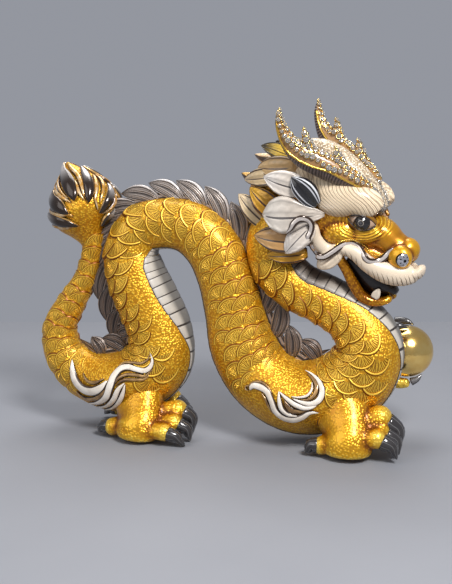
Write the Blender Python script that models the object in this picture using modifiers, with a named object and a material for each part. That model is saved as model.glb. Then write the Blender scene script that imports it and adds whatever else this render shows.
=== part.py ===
"""A glazed ceramic dragon with a looping body, and the golden ball that its raised forepaw holds.

The dragon is one hollow casting, modelled as one solid: the body is a tapering tube that follows one
line from the tail to the neck, and the legs, head, mane, antlers and fins are joined to it.
It faces +X and stands on three feet at Z = 0. The side that carries most of the carving is -Y.
Shapes are drawn in drawing units, one of which is a millimetre when the dragon is 262 mm long.
"""
import math

import bmesh
import bpy
import numpy as np
from mathutils import Matrix, Vector

# Driving dimensions, in metres
LENGTH = 0.262
BALL_DIAMETER = 0.034
HOLD_GAP = 0.0005
SCALE_PITCH = 0.0099
SCALE_STEP = 0.0011
FIN_PITCH = 0.0140
FIN_THICKNESS = 0.0040
LEAF_THICKNESS = 0.0044
FAR_FOOT_SET_BACK = 0.012

UNIT = LENGTH / 262

# How finely the forms are melted together, and how many facets the casting keeps
GRAIN = LENGTH / 330
FACETS = 8900
SPECK_POINTS = 20

# The line that the body follows, tail tip first: x, z and half the body's thickness, in drawing units
BODY_LINE = [
    (-91.8, 133.8, 8.4), (-93.0, 119.0, 7.6), (-97.4, 104.5, 8.0), (-108.0, 86.5, 10.0),
    (-117.6, 68.0, 12.0), (-115.0, 50.5, 14.4), (-101.0, 37.5, 17.0), (-81.0, 32.3, 20.4),
    (-61.0, 36.0, 22.6), (-46.0, 51.0, 23.0), (-45.5, 68.0, 21.8), (-53.8, 88.1, 21.4),
    (-62.0, 106.0, 20.4), (-65.0, 122.0, 18.5), (-57.5, 136.3, 17.0), (-41.3, 141.0, 16.8),
    (-24.0, 138.6, 17.7), (-9.5, 127.5, 18.8), (0.0, 108.5, 19.1), (6.0, 86.0, 20.0),
    (13.0, 60.5, 22.7), (27.0, 40.8, 23.8), (48.0, 31.0, 24.6), (70.4, 35.0, 24.6),
    (87.5, 48.5, 24.0), (93.0, 66.0, 22.0), (84.5, 81.8, 18.6), (66.0, 93.8, 16.5),
    (45.5, 103.5, 16.5), (33.0, 116.5, 17.0), (31.0, 131.5, 17.2), (43.1, 147.9, 16.5),
]
BODY_SIDES = 18
BODY_WIDTH = 0.94
BELLY_SIDES = (8, 9, 10)
BACK_SIDES = (17, 0, 1)
BELLY_DEPTH = 0.7

# The fins stand on the back between these shares of the body's line, and are higher where it is thicker
FIN_RUN = (0.20, 0.80)
FIN_HEIGHT = 8.0
FIN_SWELL = 0.17

TUFT_PETALS = 8

# How the head is turned towards -Y and leans, about the point where the neck enters it
HEAD_TURN = math.radians(-12)
HEAD_LEAN = math.radians(7)
HEAD_PIVOT = Vector((60, 0, 140))
HEAD = (
    Matrix.Translation(HEAD_PIVOT)
    @ Matrix.Rotation(HEAD_TURN, 4, "Z")
    @ Matrix.Rotation(HEAD_LEAN, 4, "X")
    @ Matrix.Translation(-HEAD_PIVOT)
)

BALL_CENTRE = Vector((114.8, 30, 58))
BALL_RADIUS = BALL_DIAMETER / 2 / UNIT
SIDEWAYS = Vector((0, 1, 0))


def collection(name):
    """A collection of this name in the scene."""
    made = bpy.data.collections.new(name)
    bpy.context.scene.collection.children.link(made)
    return made


def material(name, colour, roughness, metallic=0.0):
    """A Principled material of one colour."""
    made = bpy.data.materials.new(name)
    made.use_nodes = True
    shader = made.node_tree.nodes["Principled BSDF"]
    shader.inputs["Base Color"].default_value = (*colour, 1)
    shader.inputs["Roughness"].default_value = roughness
    shader.inputs["Metallic"].default_value = metallic
    made.diffuse_color = (*colour, 1)
    return made


def finished(name, shape, surface, group):
    """Turns a bmesh drawn in drawing units into an object of this name, its faces pointing out."""
    bmesh.ops.recalc_face_normals(shape, faces=shape.faces)
    bmesh.ops.scale(shape, vec=(UNIT, UNIT, UNIT), verts=shape.verts)
    mesh = bpy.data.meshes.new(name)
    shape.to_mesh(mesh)
    shape.free()
    mesh.materials.append(surface)
    mesh.shade_smooth()
    mesh.set_sharp_from_angle(angle=math.radians(35))
    made = bpy.data.objects.new(name, mesh)
    group.objects.link(made)
    return made


def smooth(stations, count):
    """Stations read at even distances along the smooth curve through the given ones."""
    given = np.array(stations, float)
    if len(given) == 2:
        return [tuple(row) for row in np.linspace(given[0], given[1], count)]
    step = np.linalg.norm(np.diff(given[:, :3], axis=0), axis=1)
    knots = np.concatenate([[0], np.cumsum(step)])
    slopes = np.gradient(given, knots, axis=0)
    fine = []
    for i, span in enumerate(step):
        t = np.linspace(0, 1, 25)[:, None]
        a, b = given[i], given[i + 1]
        ma, mb = slopes[i] * span, slopes[i + 1] * span
        fine.append(
            (2 * t**3 - 3 * t**2 + 1) * a + (t**3 - 2 * t**2 + t) * ma
            + (3 * t**2 - 2 * t**3) * b + (t**3 - t**2) * mb
        )
    fine = np.concatenate(fine)
    length = np.concatenate([[0], np.cumsum(np.linalg.norm(np.diff(fine[:, :3], axis=0), axis=1))])
    wanted = np.linspace(0, length[-1], count)
    return [tuple(row) for row in np.stack([np.interp(wanted, length, column) for column in fine.T], axis=1)]


def skin(shape, rings):
    """Joins rings of points into a closed skin, with a point in place of a ring of one."""
    made = [[shape.verts.new(point) for point in ring] for ring in rings]
    for low, high in zip(made, made[1:]):
        count = max(len(low), len(high))
        for j in range(count):
            k = (j + 1) % count
            if len(low) == 1:
                shape.faces.new((low[0], high[k], high[j]))
            elif len(high) == 1:
                shape.faces.new((low[j], low[k], high[0]))
            else:
                shape.faces.new((low[j], low[k], high[k], high[j]))
    for ring in (made[0], made[-1]):
        if len(ring) > 1:
            shape.faces.new(ring)


def tube(shape, stations, rings=6, sides=8, across=SIDEWAYS, place=None):
    """Adds a closed tube through stations of x, y, z, half width and half depth.

    The width runs along `across`, and the depth is square to it and to the tube's line.
    A station of no width closes the tube in a point.
    """
    read = smooth(stations, rings)
    centres = [Vector(row[:3]) for row in read]
    skins = []
    for i, (centre, row) in enumerate(zip(centres, read)):
        along = (centres[min(i + 1, rings - 1)] - centres[max(i - 1, 0)]).normalized()
        wide = (across - along * across.dot(along)).normalized()
        deep = along.cross(wide)
        if row[3] < 0.05:
            ring = [centre]
        else:
            angles = [math.tau * j / sides for j in range(sides)]
            ring = [centre + wide * row[3] * math.cos(a) + deep * row[4] * math.sin(a) for a in angles]
        skins.append([place @ point for point in ring] if place else ring)
    skin(shape, skins)


def ball(shape, centre, radii, segments=10, rings=6, turn=0.0, place=None):
    """Adds a ball squeezed to three radii and turned about Y by this many degrees."""
    form = (
        Matrix.Translation(Vector(centre))
        @ Matrix.Rotation(math.radians(turn), 4, "Y")
        @ Matrix.Diagonal((*radii, 1))
    )
    bmesh.ops.create_uvsphere(
        shape, u_segments=segments, v_segments=rings, radius=1, matrix=place @ form if place else form
    )


def leaf(shape, root, tip, half_width, across, thickness=LEAF_THICKNESS / UNIT, bow=0.0, place=None):
    """Adds a pointed leaf with a ridge down both faces, bowed by a share of its length."""
    root, tip = Vector(root), Vector(tip)
    out = (tip - root).cross(Vector(across)).normalized() * bow * (tip - root).length
    stations = []
    for share, spread in ((0, 0.55), (0.3, 0.95), (0.55, 1.0), (0.8, 0.66), (1, 0)):
        point = root.lerp(tip, share) + out * math.sin(math.pi * share)
        stations.append((*point, half_width * spread, thickness / 2 * max(spread, 0.3)))
    tube(shape, stations, rings=5, sides=4, across=Vector(across), place=place)


def both_sides(add, *points, **values):
    """Adds a form of the head and its mirror image on the far side."""
    for side in (1, -1):
        mirror = Matrix.Diagonal((1, side, 1, 1))
        add(*points, place=HEAD @ mirror, **values)


# The body: a tapering tube in rows of round scales that step up to their free edge, which faces the tail

def body_line():
    """Distances along the body's line, with x, z and half thickness at each."""
    rows = np.array(smooth([(x, 0, z, r) for x, z, r in BODY_LINE], 700))
    length = np.concatenate([[0], np.cumsum(np.linalg.norm(np.diff(rows[:, :3], axis=0), axis=1))])
    return length, rows


LINE_LENGTH, LINE_ROWS = body_line()


def body_frame(distance):
    """The body's centre, its forward and its back direction, and its half thickness at a distance."""
    reach = 1.0
    low, high, here = (
        [np.interp(d, LINE_LENGTH, LINE_ROWS[:, k]) for k in range(4)]
        for d in (max(distance - reach, 0), min(distance + reach, LINE_LENGTH[-1]), distance)
    )
    forward = (Vector(high[:3]) - Vector(low[:3])).normalized()
    back = Vector((-forward.z, 0, forward.x))
    return Vector(here[:3]), forward, back, here[3]


def body_point(distance, angle, lift):
    """A point on the body's skin; the angle runs from the back round the -Y side to the belly."""
    distance = min(max(distance, 0), LINE_LENGTH[-1])
    centre, _, back, radius = body_frame(distance)
    reach = radius + lift
    return centre + back * reach * math.cos(angle) - SIDEWAYS * reach * BODY_WIDTH * math.sin(angle)


def body(shape):
    """The scaled tube, from the root of the tail's tuft to the inside of the head."""
    pitch = SCALE_PITCH / UNIT
    rise = SCALE_STEP / UNIT
    count = round(LINE_LENGTH[-1] / pitch)
    pitch = LINE_LENGTH[-1] / count
    rings = []
    for row in range(count + 1):
        foot, edge = [], []
        for j in range(BODY_SIDES):
            angle = math.tau * j / BODY_SIDES
            if j in BELLY_SIDES:
                shift, low, high = 0, -BELLY_DEPTH, -BELLY_DEPTH
            elif j in BACK_SIDES:
                shift, low, high = 0, 0, 0
            else:
                shift, low, high = (-0.28 if (row + j) % 2 else 0.28), -rise * 0.4, rise * 0.6
            distance = (row + (shift if 0 < row < count else 0)) * pitch
            foot.append(body_point(distance - 0.09 * pitch, angle, low))
            edge.append(body_point(distance + 0.05 * pitch, angle, high))
        rings += [edge] if row == 0 else [foot] if row == count else [foot, edge]
    skin(shape, rings)


def fins(shape):
    """A row of leaf-shaped fins down the back, each swept towards the tail over the next one's root."""
    pitch = FIN_PITCH / UNIT
    first, last = (share * LINE_LENGTH[-1] for share in FIN_RUN)
    count = int((last - first) / pitch)
    for i in range(count + 1):
        centre, forward, back, radius = body_frame(first + i * pitch)
        height = FIN_HEIGHT + FIN_SWELL * radius
        root = centre + back * (radius - 0.5) + forward * height
        tip = centre + back * (radius + height) - forward * height
        leaf(shape, root, tip, height * 0.66, back, FIN_THICKNESS / UNIT, bow=0.14)


def tuft(shape):
    """The bud of petals at the end of the tail: a ribbed drop with petals laid on it."""
    base, tip = Vector((-92.5, 0, 124)), Vector((-109.6, 0, 179.5))
    axis = (tip - base).normalized()
    centre = Vector((-97.5, 0, 149))
    drop = [(*base, 6.5, 6.5), (*centre, 17, 17), (*base.lerp(tip, 0.75), 11, 11), (*tip, 0, 0)]
    tube(shape, drop, 7, 12)
    first = axis.cross(SIDEWAYS)
    for i in range(TUFT_PETALS):
        angle = math.tau * (i + 0.5) / TUFT_PETALS
        out = first * math.cos(angle) + SIDEWAYS * math.sin(angle)
        middle = centre + out * (24 - 3 * math.cos(angle))
        crown = tip + out * 4 - axis * 4
        shoulder = middle.lerp(crown, 0.55) + out * 2
        petal = [(*(base + out * 5), 3.5, 1.5), (*middle, 7.2, 2.2), (*shoulder, 5.5, 1.8), (*crown, 0, 0)]
        tube(shape, petal, 6, 4, across=axis.cross(out))


# The legs: a haunch on the body's flank, a short leg, a pad with toes, and claws

def claw(shape, root, bend, tip, girth):
    """A curved claw that tapers to a point."""
    stations = [(*root, girth, girth), (*bend, girth * 0.8, girth * 0.8), (*tip, 0, 0)]
    tube(shape, stations, rings=5, sides=6)


def foot(shape, place, toes, heel, pad, leg, haunch):
    """One standing leg: its haunch, leg, pad, toes with claws, and a heel toe."""
    move = Matrix(place)
    centre, radii, turn = haunch
    ball(shape, move @ Vector(centre), radii, 12, 8, turn=turn)
    tube(shape, [(*(move @ Vector(p[:3])), *p[3:]) for p in leg], 5, 10, across=Vector((0, 1, 0.05)))
    ball(shape, move @ Vector(pad[0]), pad[1], 12, 8)
    for root, knuckle, girth, bend, tip in toes + [heel]:
        root, knuckle, bend, tip = (move @ Vector(p) for p in (root, knuckle, bend, tip))
        tube(shape, [(*root, girth, girth), (*root.lerp(knuckle, 0.6), girth * 0.9, girth * 0.9)], 2, 8)
        ball(shape, knuckle, (girth * 1.08,) * 3, 8, 6)
        start = knuckle.lerp(bend, 0.25)
        claw(shape, start, bend, tip, girth * 0.72)


HIND_LEG = dict(
    haunch=((-72, -13, 36), (31, 17, 21), 8),
    leg=[(-60, -12, 32, 16, 16), (-53, -18, 24, 15, 15), (-48.5, -23, 13, 11, 12), (-51, -25, 5, 10, 11)],
    pad=((-52.5, -25, 6.2), (13, 11.5, 8)),
    heel=((-60, -24, 8), (-71.5, -22, 7.4), 5.4, (-78.5, -21, 7), (-83, -20, 2)),
    toes=[
        ((-42, -17, 14), (-29.5, -13, 19.5), 6.2, (-21, -11.5, 15), (-20, -11, 2.5)),
        ((-42, -22, 9), (-29.5, -21, 13), 5.4, (-21, -20.5, 9.5), (-18.5, -20, 1.2)),
        ((-44, -28, 7), (-33, -31, 9), 5.4, (-25.5, -31.5, 7.5), (-19, -30, 0.4)),
    ],
)
FORE_LEG = dict(
    haunch=((52, -13, 37), (33, 17, 22), -4),
    leg=[(74, -12, 36, 17, 17), (80, -17, 27, 15, 16), (86, -23, 17, 12, 13), (84.5, -26, 7, 11, 12)],
    pad=((85, -26.5, 7.4), (14, 12, 9.2)),
    heel=((76, -26, 8), (67.8, -26, 6.2), 5.6, (61, -26.5, 7), (57, -27, 0.6)),
    toes=[
        ((92, -20, 20), (102, -17, 25), 7.8, (112.5, -15.5, 17), (112, -15, 3)),
        ((93, -25, 12), (103, -24, 16), 5.8, (111.5, -23.5, 11), (112, -23, 1.6)),
        ((92, -29, 9), (101, -31, 12.5), 6.2, (109, -32, 9), (112, -31.5, 0.8)),
    ],
)
FAR_HIND_PLACE = Matrix.Translation((-FAR_FOOT_SET_BACK / UNIT, 0, 0)) @ Matrix.Diagonal((1, -1, 1, 1))


def standing_legs(shape):
    """The two hind legs, the far one set further back, and the near foreleg."""
    foot(shape, Matrix.Identity(4), **HIND_LEG)
    foot(shape, FAR_HIND_PLACE, **HIND_LEG)
    foot(shape, Matrix.Identity(4), **FORE_LEG)


def raised_leg(shape):
    """The far foreleg, which reaches forward, and its toes and claws closed round the ball."""
    ball(shape, (60, 13, 40), (32, 16, 22), 12, 8, turn=-4)
    wrist = BALL_CENTRE + Vector((-BALL_RADIUS - 4.5, 2, -4))
    tube(shape, [(76, 15, 44, 14, 14), (88, 24, 44, 11, 11), (*wrist, 8.5, 8.5)], 6, 10)
    inward = (wrist - BALL_CENTRE).normalized()
    ball(shape, wrist + inward * 4, (7.5, 9, 9.5), 10, 6)
    gap = HOLD_GAP / UNIT
    for sideways, upwards, end in ((-0.42, 1, 118), (0.42, 1, 112), (-0.25, -1, 108), (0.9, 0.1, 112)):
        over = Vector((0.1, sideways, upwards))
        over = (over - inward * over.dot(inward)).normalized()
        stations = []
        for share in (0, 0.25, 0.5, 0.62, 0.8, 1):
            angle = math.radians(8 + (end - 8) * share)
            girth = 4.0 - 0.6 * share if share < 0.55 else 3.4 * (1 - share) / 0.45
            reach = BALL_RADIUS + gap + girth + 0.25
            point = BALL_CENTRE + (inward * math.cos(angle) + over * math.sin(angle)) * reach
            stations.append((*point, girth, girth))
        tube(shape, stations, 9, 6, across=inward.cross(over))


# The head, drawn upright and then turned and tilted by HEAD

def skull(shape):
    """The skull with its crown, brows, eyes, cheeks and ears."""
    core = [
        (34, 0, 153, 13, 16), (48, 0, 156, 19, 24), (64, 0, 156, 21, 28), (82, 0, 152, 18.5, 25),
        (99, 0, 149, 12, 14),
    ]
    tube(shape, core, 6, 12, place=HEAD)
    ball(shape, (38, 0, 163), (23, 19, 24), 12, 8, place=HEAD)
    both_sides(ball, shape, (68, -12, 172), (20, 11, 12), segments=8, rings=6)
    crown = [
        (105, 0, 156, 5, 8), (97, 0, 166, 9, 8), (83, 0, 178, 9, 8), (64, 0, 191, 7, 7), (50, 0, 193, 3, 4),
    ]
    tube(shape, crown, 6, 8, place=HEAD)
    brow = [
        (68, -19, 164, 3, 8), (80, -17.5, 163, 5.5, 11), (92, -13, 162, 8, 11), (101.5, -6, 159, 8, 9),
        (105.5, -3, 155, 5, 7),
    ]
    both_sides(tube, shape, brow, rings=6)
    both_sides(ball, shape, (94, -12.5, 148.5), (6.5, 5, 5), segments=8, rings=6)
    both_sides(ball, shape, (79, -13, 139), (12, 7, 8))
    both_sides(leaf, shape, (68.5, -20, 158), (56, -25, 179), 6.5, (0.8, 0, 0.5), bow=-0.06)


def snout(shape):
    """The snout with its round nose, and the curled upper lip that ends in a whisker."""
    bridge = [(90, 0, 140, 14.5, 12), (102, 0, 136, 12, 10.5), (113, 0, 129, 9.5, 8), (119, 0, 127, 7, 6)]
    tube(shape, bridge, 5, 10, place=HEAD)
    ball(shape, (116.5, 0, 128.5), (8.6, 8, 8), place=HEAD)
    both_sides(ball, shape, (114.5, -7.5, 125.5), (6, 4.6, 5.6), segments=8, rings=6)
    tube(shape, [(74, 0, 130, 14, 7), (95, 0, 126, 12, 7), (112, 0, 118, 9, 8)], 4, 8, place=HEAD)
    lip = [
        (76, -16, 130, 3, 3), (88, -15, 129, 3.5, 4.5), (98, -12.5, 121.5, 4.5, 6), (108, -9.5, 116, 5, 7),
        (117, -5, 114, 5, 7), (122, 0, 115, 4, 6),
    ]
    both_sides(tube, shape, lip, rings=8)
    both_sides(leaf, shape, (80, -15, 131), (64, -19, 118.5), 5.5, (0.5, 0.2, -0.6))


def lower_jaw(shape):
    """The dropped lower jaw with its floor, tongue and pair of teeth."""
    tongue = [(82, 0, 122, 7, 4), (92, 0, 113, 6, 8), (101, 0, 107, 5, 7), (108, 0, 106, 4, 4)]
    tube(shape, tongue, 5, 8, place=HEAD)
    tube(shape, [(86, 0, 106, 8, 3.5), (95, 0, 98.5, 8, 3), (106, 0, 98, 6, 3)], 4, 8, place=HEAD)
    rim = [
        (79, -13, 128, 3.5, 3.5), (84, -12, 115, 3.4, 3.4), (88, -10.5, 104, 3.4, 4), (95, -9, 98, 3.2, 3.6),
        (104, -6, 98, 3, 3.4), (109, 0, 100.5, 2.6, 3),
    ]
    both_sides(tube, shape, rim, rings=8)
    both_sides(tube, shape, [(99.5, -7.5, 99, 2.4, 2.4), (100, -7.5, 106.5, 0, 0)], rings=3, sides=6)


def mane(shape):
    """The leaves of the mane, laid back from the cheeks and crown in overlapping rows."""
    upright_leaf = (0.1, 0.1, 1)
    for root, tip, half_width, across in (
        ((60, -22, 170), (35, -28, 176.5), 8.5, upright_leaf),
        ((69, -21, 156), (34.5, -29, 154), 10.5, upright_leaf),
        ((56, -22, 140), (27, -26, 140), 9.0, upright_leaf),
        ((66, -22, 147), (48.5, -27, 130), 7.5, (-0.6, 0.1, 0.6)),
        ((60, -19, 131), (33.5, -23, 127), 5.0, upright_leaf),
        ((32, -11, 144), (11, -13, 162), 7.0, (0.7, 0.2, 0.6)),
        ((42, -15, 152), (20, -17, 169), 8.0, (0.7, 0.2, 0.6)),
        ((46, -17, 177), (15, -11, 172), 6.5, upright_leaf),
        ((50, -15, 181), (24, -12, 184), 6.5, upright_leaf),
        ((54, -12, 184), (28, -11, 192.5), 5.0, (0.2, 0.5, 1)),
    ):
        both_sides(leaf, shape, root, tip, half_width, across, bow=-0.08)
    nape = (((46, 0, 186), (18, 0, 186), 8), ((38, 0, 172), (8, 0, 174), 10), ((30, 0, 156), (5, 0, 158), 9))
    for root, tip, half_width in nape:
        leaf(shape, root, tip, half_width, SIDEWAYS, bow=0.1, place=HEAD)


def antlers(shape):
    """Two antlers, rooted together on the brow and swept back to upturned tips, with two prongs each."""
    beam = [
        (98, -5, 166, 3, 3), (88, -12, 173.5, 5, 4.5), (76, -19, 181, 5.5, 6), (65.5, -24, 186.5, 5, 7),
        (57, -28, 193, 4, 6), (51.5, -30, 202.5, 3, 4), (49.5, -31, 211, 2.2, 2.4), (50.2, -31, 217.8, 0, 0),
    ]
    both_sides(tube, shape, beam, rings=10, sides=6)
    for prong in (
        [(67, -24, 188, 3.2, 4), (64, -26, 198, 2.2, 2.6), (63.2, -27, 206, 0, 0)],
        [(83, -17, 180, 3.2, 4), (80.5, -19, 187.5, 2, 2.4), (80, -20, 194, 0, 0)],
    ):
        both_sides(tube, shape, prong, rings=4, sides=6)


def locks(shape):
    """The curling white locks laid on the near and far haunches."""
    for side in (1, -1):
        mirror = Matrix.Diagonal((1, side, 1, 1))
        for route in (
            [
                (-99, -19, 50, 0, 0), (-95, -25, 39, 1.5, 3), (-84, -28.5, 33, 1.5, 3.2),
                (-72, -28.5, 43, 1.5, 3), (-58, -26, 49, 1.4, 2.8), (-45, -25, 58, 0, 0),
            ],
            [(-66, -28.5, 38, 1.4, 2), (-69, -28, 28, 1.5, 4), (-82, -24, 23, 1.5, 3), (-91, -21, 27, 0, 0)],
            [
                (24, -23, 41, 0, 0), (33, -26.5, 38, 1.4, 3), (41, -28.5, 26, 1.5, 3),
                (54, -28, 22.5, 1.5, 3), (65, -25, 27, 0, 0),
            ],
            [
                (44, -29, 34, 1.4, 2), (56, -29, 30, 1.5, 3), (67, -28, 37, 1.5, 3),
                (67, -27, 47, 1.4, 2), (58, -26, 54, 0, 0),
            ],
        ):
            stations = [(x, y * side, z, wide, deep) for x, y, z, wide, deep in route]
            tube(shape, stations, 8, 4, across=mirror @ SIDEWAYS)


def floor_block(group):
    """The block below Z = 0 that cuts the soles flat."""
    shape = bmesh.new()
    place = Matrix.Translation((0, 0, -20)) @ Matrix.Diagonal((300, 120, 40, 1))
    bmesh.ops.create_cube(shape, size=1, matrix=place)
    return finished("floor block", shape, material("cutter", (0.5, 0.5, 0.5), 0.5), group)


def ball_seat(group):
    """The hollow that the ball leaves in the paw that holds it, a gap wider than the ball."""
    shape = bmesh.new()
    ball(shape, BALL_CENTRE, (BALL_RADIUS + HOLD_GAP / UNIT,) * 3, 32, 20)
    return finished("ball seat", shape, material("seat cutter", (0.5, 0.5, 0.5), 0.5), group)


def held_ball(surface, group):
    """The golden ball, a separate piece that the raised paw holds."""
    shape = bmesh.new()
    ball(shape, BALL_CENTRE, (BALL_RADIUS,) * 3, 22, 13)
    return finished("pearl", shape, surface, group)


def apply_modifiers(made):
    """Replaces an object's mesh by its evaluated one, without the specks that a modifier leaves."""
    graph = bpy.context.evaluated_depsgraph_get()
    mesh = bpy.data.meshes.new_from_object(made.evaluated_get(graph))
    made.modifiers.clear()
    shape = bmesh.new()
    shape.from_mesh(mesh)
    loose = set(shape.verts)
    while loose:
        shell, edge = set(), [loose.pop()]
        while edge:
            vert = edge.pop()
            shell.add(vert)
            near = {e.other_vert(vert) for e in vert.link_edges} & loose
            loose -= near
            edge.extend(near)
        if len(shell) < SPECK_POINTS:
            bmesh.ops.delete(shape, geom=list(shell), context="VERTS")
    shape.to_mesh(mesh)
    shape.free()
    made.data = mesh


def melted(name, shape, surface, group, facets):
    """Melts overlapping forms into one closed skin of about this many facets."""
    made = finished(name, shape, surface, group)
    melt = made.modifiers.new("melt", "REMESH")
    melt.mode = "VOXEL"
    melt.voxel_size = GRAIN
    apply_modifiers(made)
    thin = made.modifiers.new("thin", "DECIMATE")
    thin.ratio = facets / (2 * len(made.data.polygons))
    apply_modifiers(made)
    return made


for stale in list(bpy.data.objects):
    bpy.data.objects.remove(stale)

figure = collection("dragon sculpture")
cutters = collection("cutters")
amber = material("amber glaze", (0.78, 0.42, 0.04), 0.25)
gold = material("mirror gold", (0.83, 0.60, 0.22), 0.12, 1.0)

casting = bmesh.new()
for add in (body, fins, tuft, standing_legs, raised_leg, skull, snout, lower_jaw, mane, antlers, locks):
    add(casting)
dragon = melted("dragon", casting, amber, figure, FACETS)
held_ball(gold, figure)
floor_block(cutters)
ball_seat(cutters)

for cutter in cutters.objects:
    cutter.hide_render = True
    cutter.display_type = "WIRE"
    cut = dragon.modifiers.new(f"cut by the {cutter.name}", "BOOLEAN")
    cut.operation = "DIFFERENCE"
    cut.object = cutter

# The origin stands below the middle of the whole figure
corners = np.array([vert.co[:2] for piece in figure.objects for vert in piece.data.vertices])
middle = (corners.min(axis=0) + corners.max(axis=0)) / 2
for piece in (*figure.objects, *cutters.objects):
    piece.data.transform(Matrix.Translation((-middle[0], -middle[1], 0)))
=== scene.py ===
import math

import bpy
import numpy as np
from mathutils import Matrix, Vector
from mathutils.bvhtree import BVHTree


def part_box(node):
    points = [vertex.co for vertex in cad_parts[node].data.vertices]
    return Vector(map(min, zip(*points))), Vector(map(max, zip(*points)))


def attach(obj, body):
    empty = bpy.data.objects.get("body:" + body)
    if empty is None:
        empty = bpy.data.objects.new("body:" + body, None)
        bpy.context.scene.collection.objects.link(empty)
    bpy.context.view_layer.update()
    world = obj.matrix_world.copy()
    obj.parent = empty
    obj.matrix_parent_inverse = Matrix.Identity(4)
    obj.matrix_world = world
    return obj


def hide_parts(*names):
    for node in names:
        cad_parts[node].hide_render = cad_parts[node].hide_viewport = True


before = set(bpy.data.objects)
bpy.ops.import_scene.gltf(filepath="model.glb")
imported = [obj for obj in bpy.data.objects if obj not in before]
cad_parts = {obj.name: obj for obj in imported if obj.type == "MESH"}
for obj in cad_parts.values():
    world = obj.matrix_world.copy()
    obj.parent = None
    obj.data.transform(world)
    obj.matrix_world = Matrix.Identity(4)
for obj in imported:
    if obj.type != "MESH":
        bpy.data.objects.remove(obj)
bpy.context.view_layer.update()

# The studio: a pale table under soft lights, seen from a little above and to the left of square on.
# The figure is drawn in millimetres from a point of its own, and the golden ball says where that point is.
MM = 0.001
BALL_DRAWN = np.array([114.8, 30, 58])
ball_low, ball_high = (np.array(corner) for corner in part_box("pearl"))
SHIFT = (ball_low + ball_high) / 2 - BALL_DRAWN * MM
VIEW_TURN = math.radians(15)
VIEW_RISE = math.radians(9)
VIEW_DISTANCE = 0.62
VIEW_HEIGHT = 0.097
VIEW_TARGET = Vector(SHIFT) + Vector((0, 0, VIEW_HEIGHT))
FOCAL_PIXELS = 953.8
PICTURE_WIDTH = 452
PICTURE_HEIGHT = 584
PIXEL = VIEW_DISTANCE / FOCAL_PIXELS / MM
FILM = 36


def looking(turn, rise, distance):
    """A place this far from the target, and a turn that faces the target from there."""
    away = Vector((math.sin(turn) * math.cos(rise), -math.cos(turn) * math.cos(rise), math.sin(rise)))
    facing = away.to_track_quat("Z", "Y").to_matrix().to_4x4()
    return Matrix.Translation(VIEW_TARGET + away * distance) @ facing


camera_place = looking(VIEW_TURN, VIEW_RISE, VIEW_DISTANCE)
camera = bpy.data.objects.new("camera", bpy.data.cameras.new("camera"))
camera.data.lens = FILM * FOCAL_PIXELS / PICTURE_HEIGHT
camera.data.sensor_width = FILM
camera.data.clip_start = 0.01
camera.matrix_world = camera_place
bpy.context.scene.collection.objects.link(camera)
bpy.context.scene.camera = camera

# Each softbox: its turn about the figure and its rise in degrees, its distance and size in metres, its power
for name, turn, rise, distance, size, power in (
    ("key softbox", 38, 42, 0.95, 0.26, 11.4),
    ("fill softbox", -38, 28, 1.1, 0.8, 3.6),
    ("top softbox", -160, 66, 0.9, 0.6, 6.5),
):
    lamp = bpy.data.objects.new(name, bpy.data.lights.new(name, "AREA"))
    lamp.data.size = size
    lamp.data.energy = power
    lamp.matrix_world = looking(math.radians(turn), math.radians(rise), distance)
    bpy.context.scene.collection.objects.link(lamp)

bpy.context.scene.view_settings.view_transform = "Standard"
world = bpy.data.worlds.new("studio")
world.use_nodes = True
world.node_tree.nodes["Background"].inputs["Color"].default_value = (0.335, 0.35, 0.395, 1)
world.node_tree.nodes["Background"].inputs["Strength"].default_value = 0.88
bpy.context.scene.world = world


class Value:
    """A socket in a material, on which + - * and the rest build the Math nodes."""

    def __init__(self, paint, socket):
        self.paint, self.socket = paint, socket

    def math(self, operation, *others):
        return self.paint.node("ShaderNodeMath", {"operation": operation}, self, *others)

    def __add__(self, other):
        return self.math("ADD", other)

    def __sub__(self, other):
        return self.math("SUBTRACT", other)

    def __rsub__(self, other):
        return self.paint.node("ShaderNodeMath", {"operation": "SUBTRACT"}, other, self)

    def __mul__(self, other):
        return self.math("MULTIPLY", other)

    __radd__ = __add__
    __rmul__ = __mul__

    def gap(self, other):
        """How far it lies from another value."""
        return (self - other).math("ABSOLUTE")

    def fold(self):
        """How far it lies from the middle of its own whole step, from nought to a half."""
        return self.math("FRACT").gap(0.5)

    def swing(self, wave):
        """The size of a sine or cosine whose turn is one."""
        return (self * math.tau).math(wave).math("ABSOLUTE")


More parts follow.
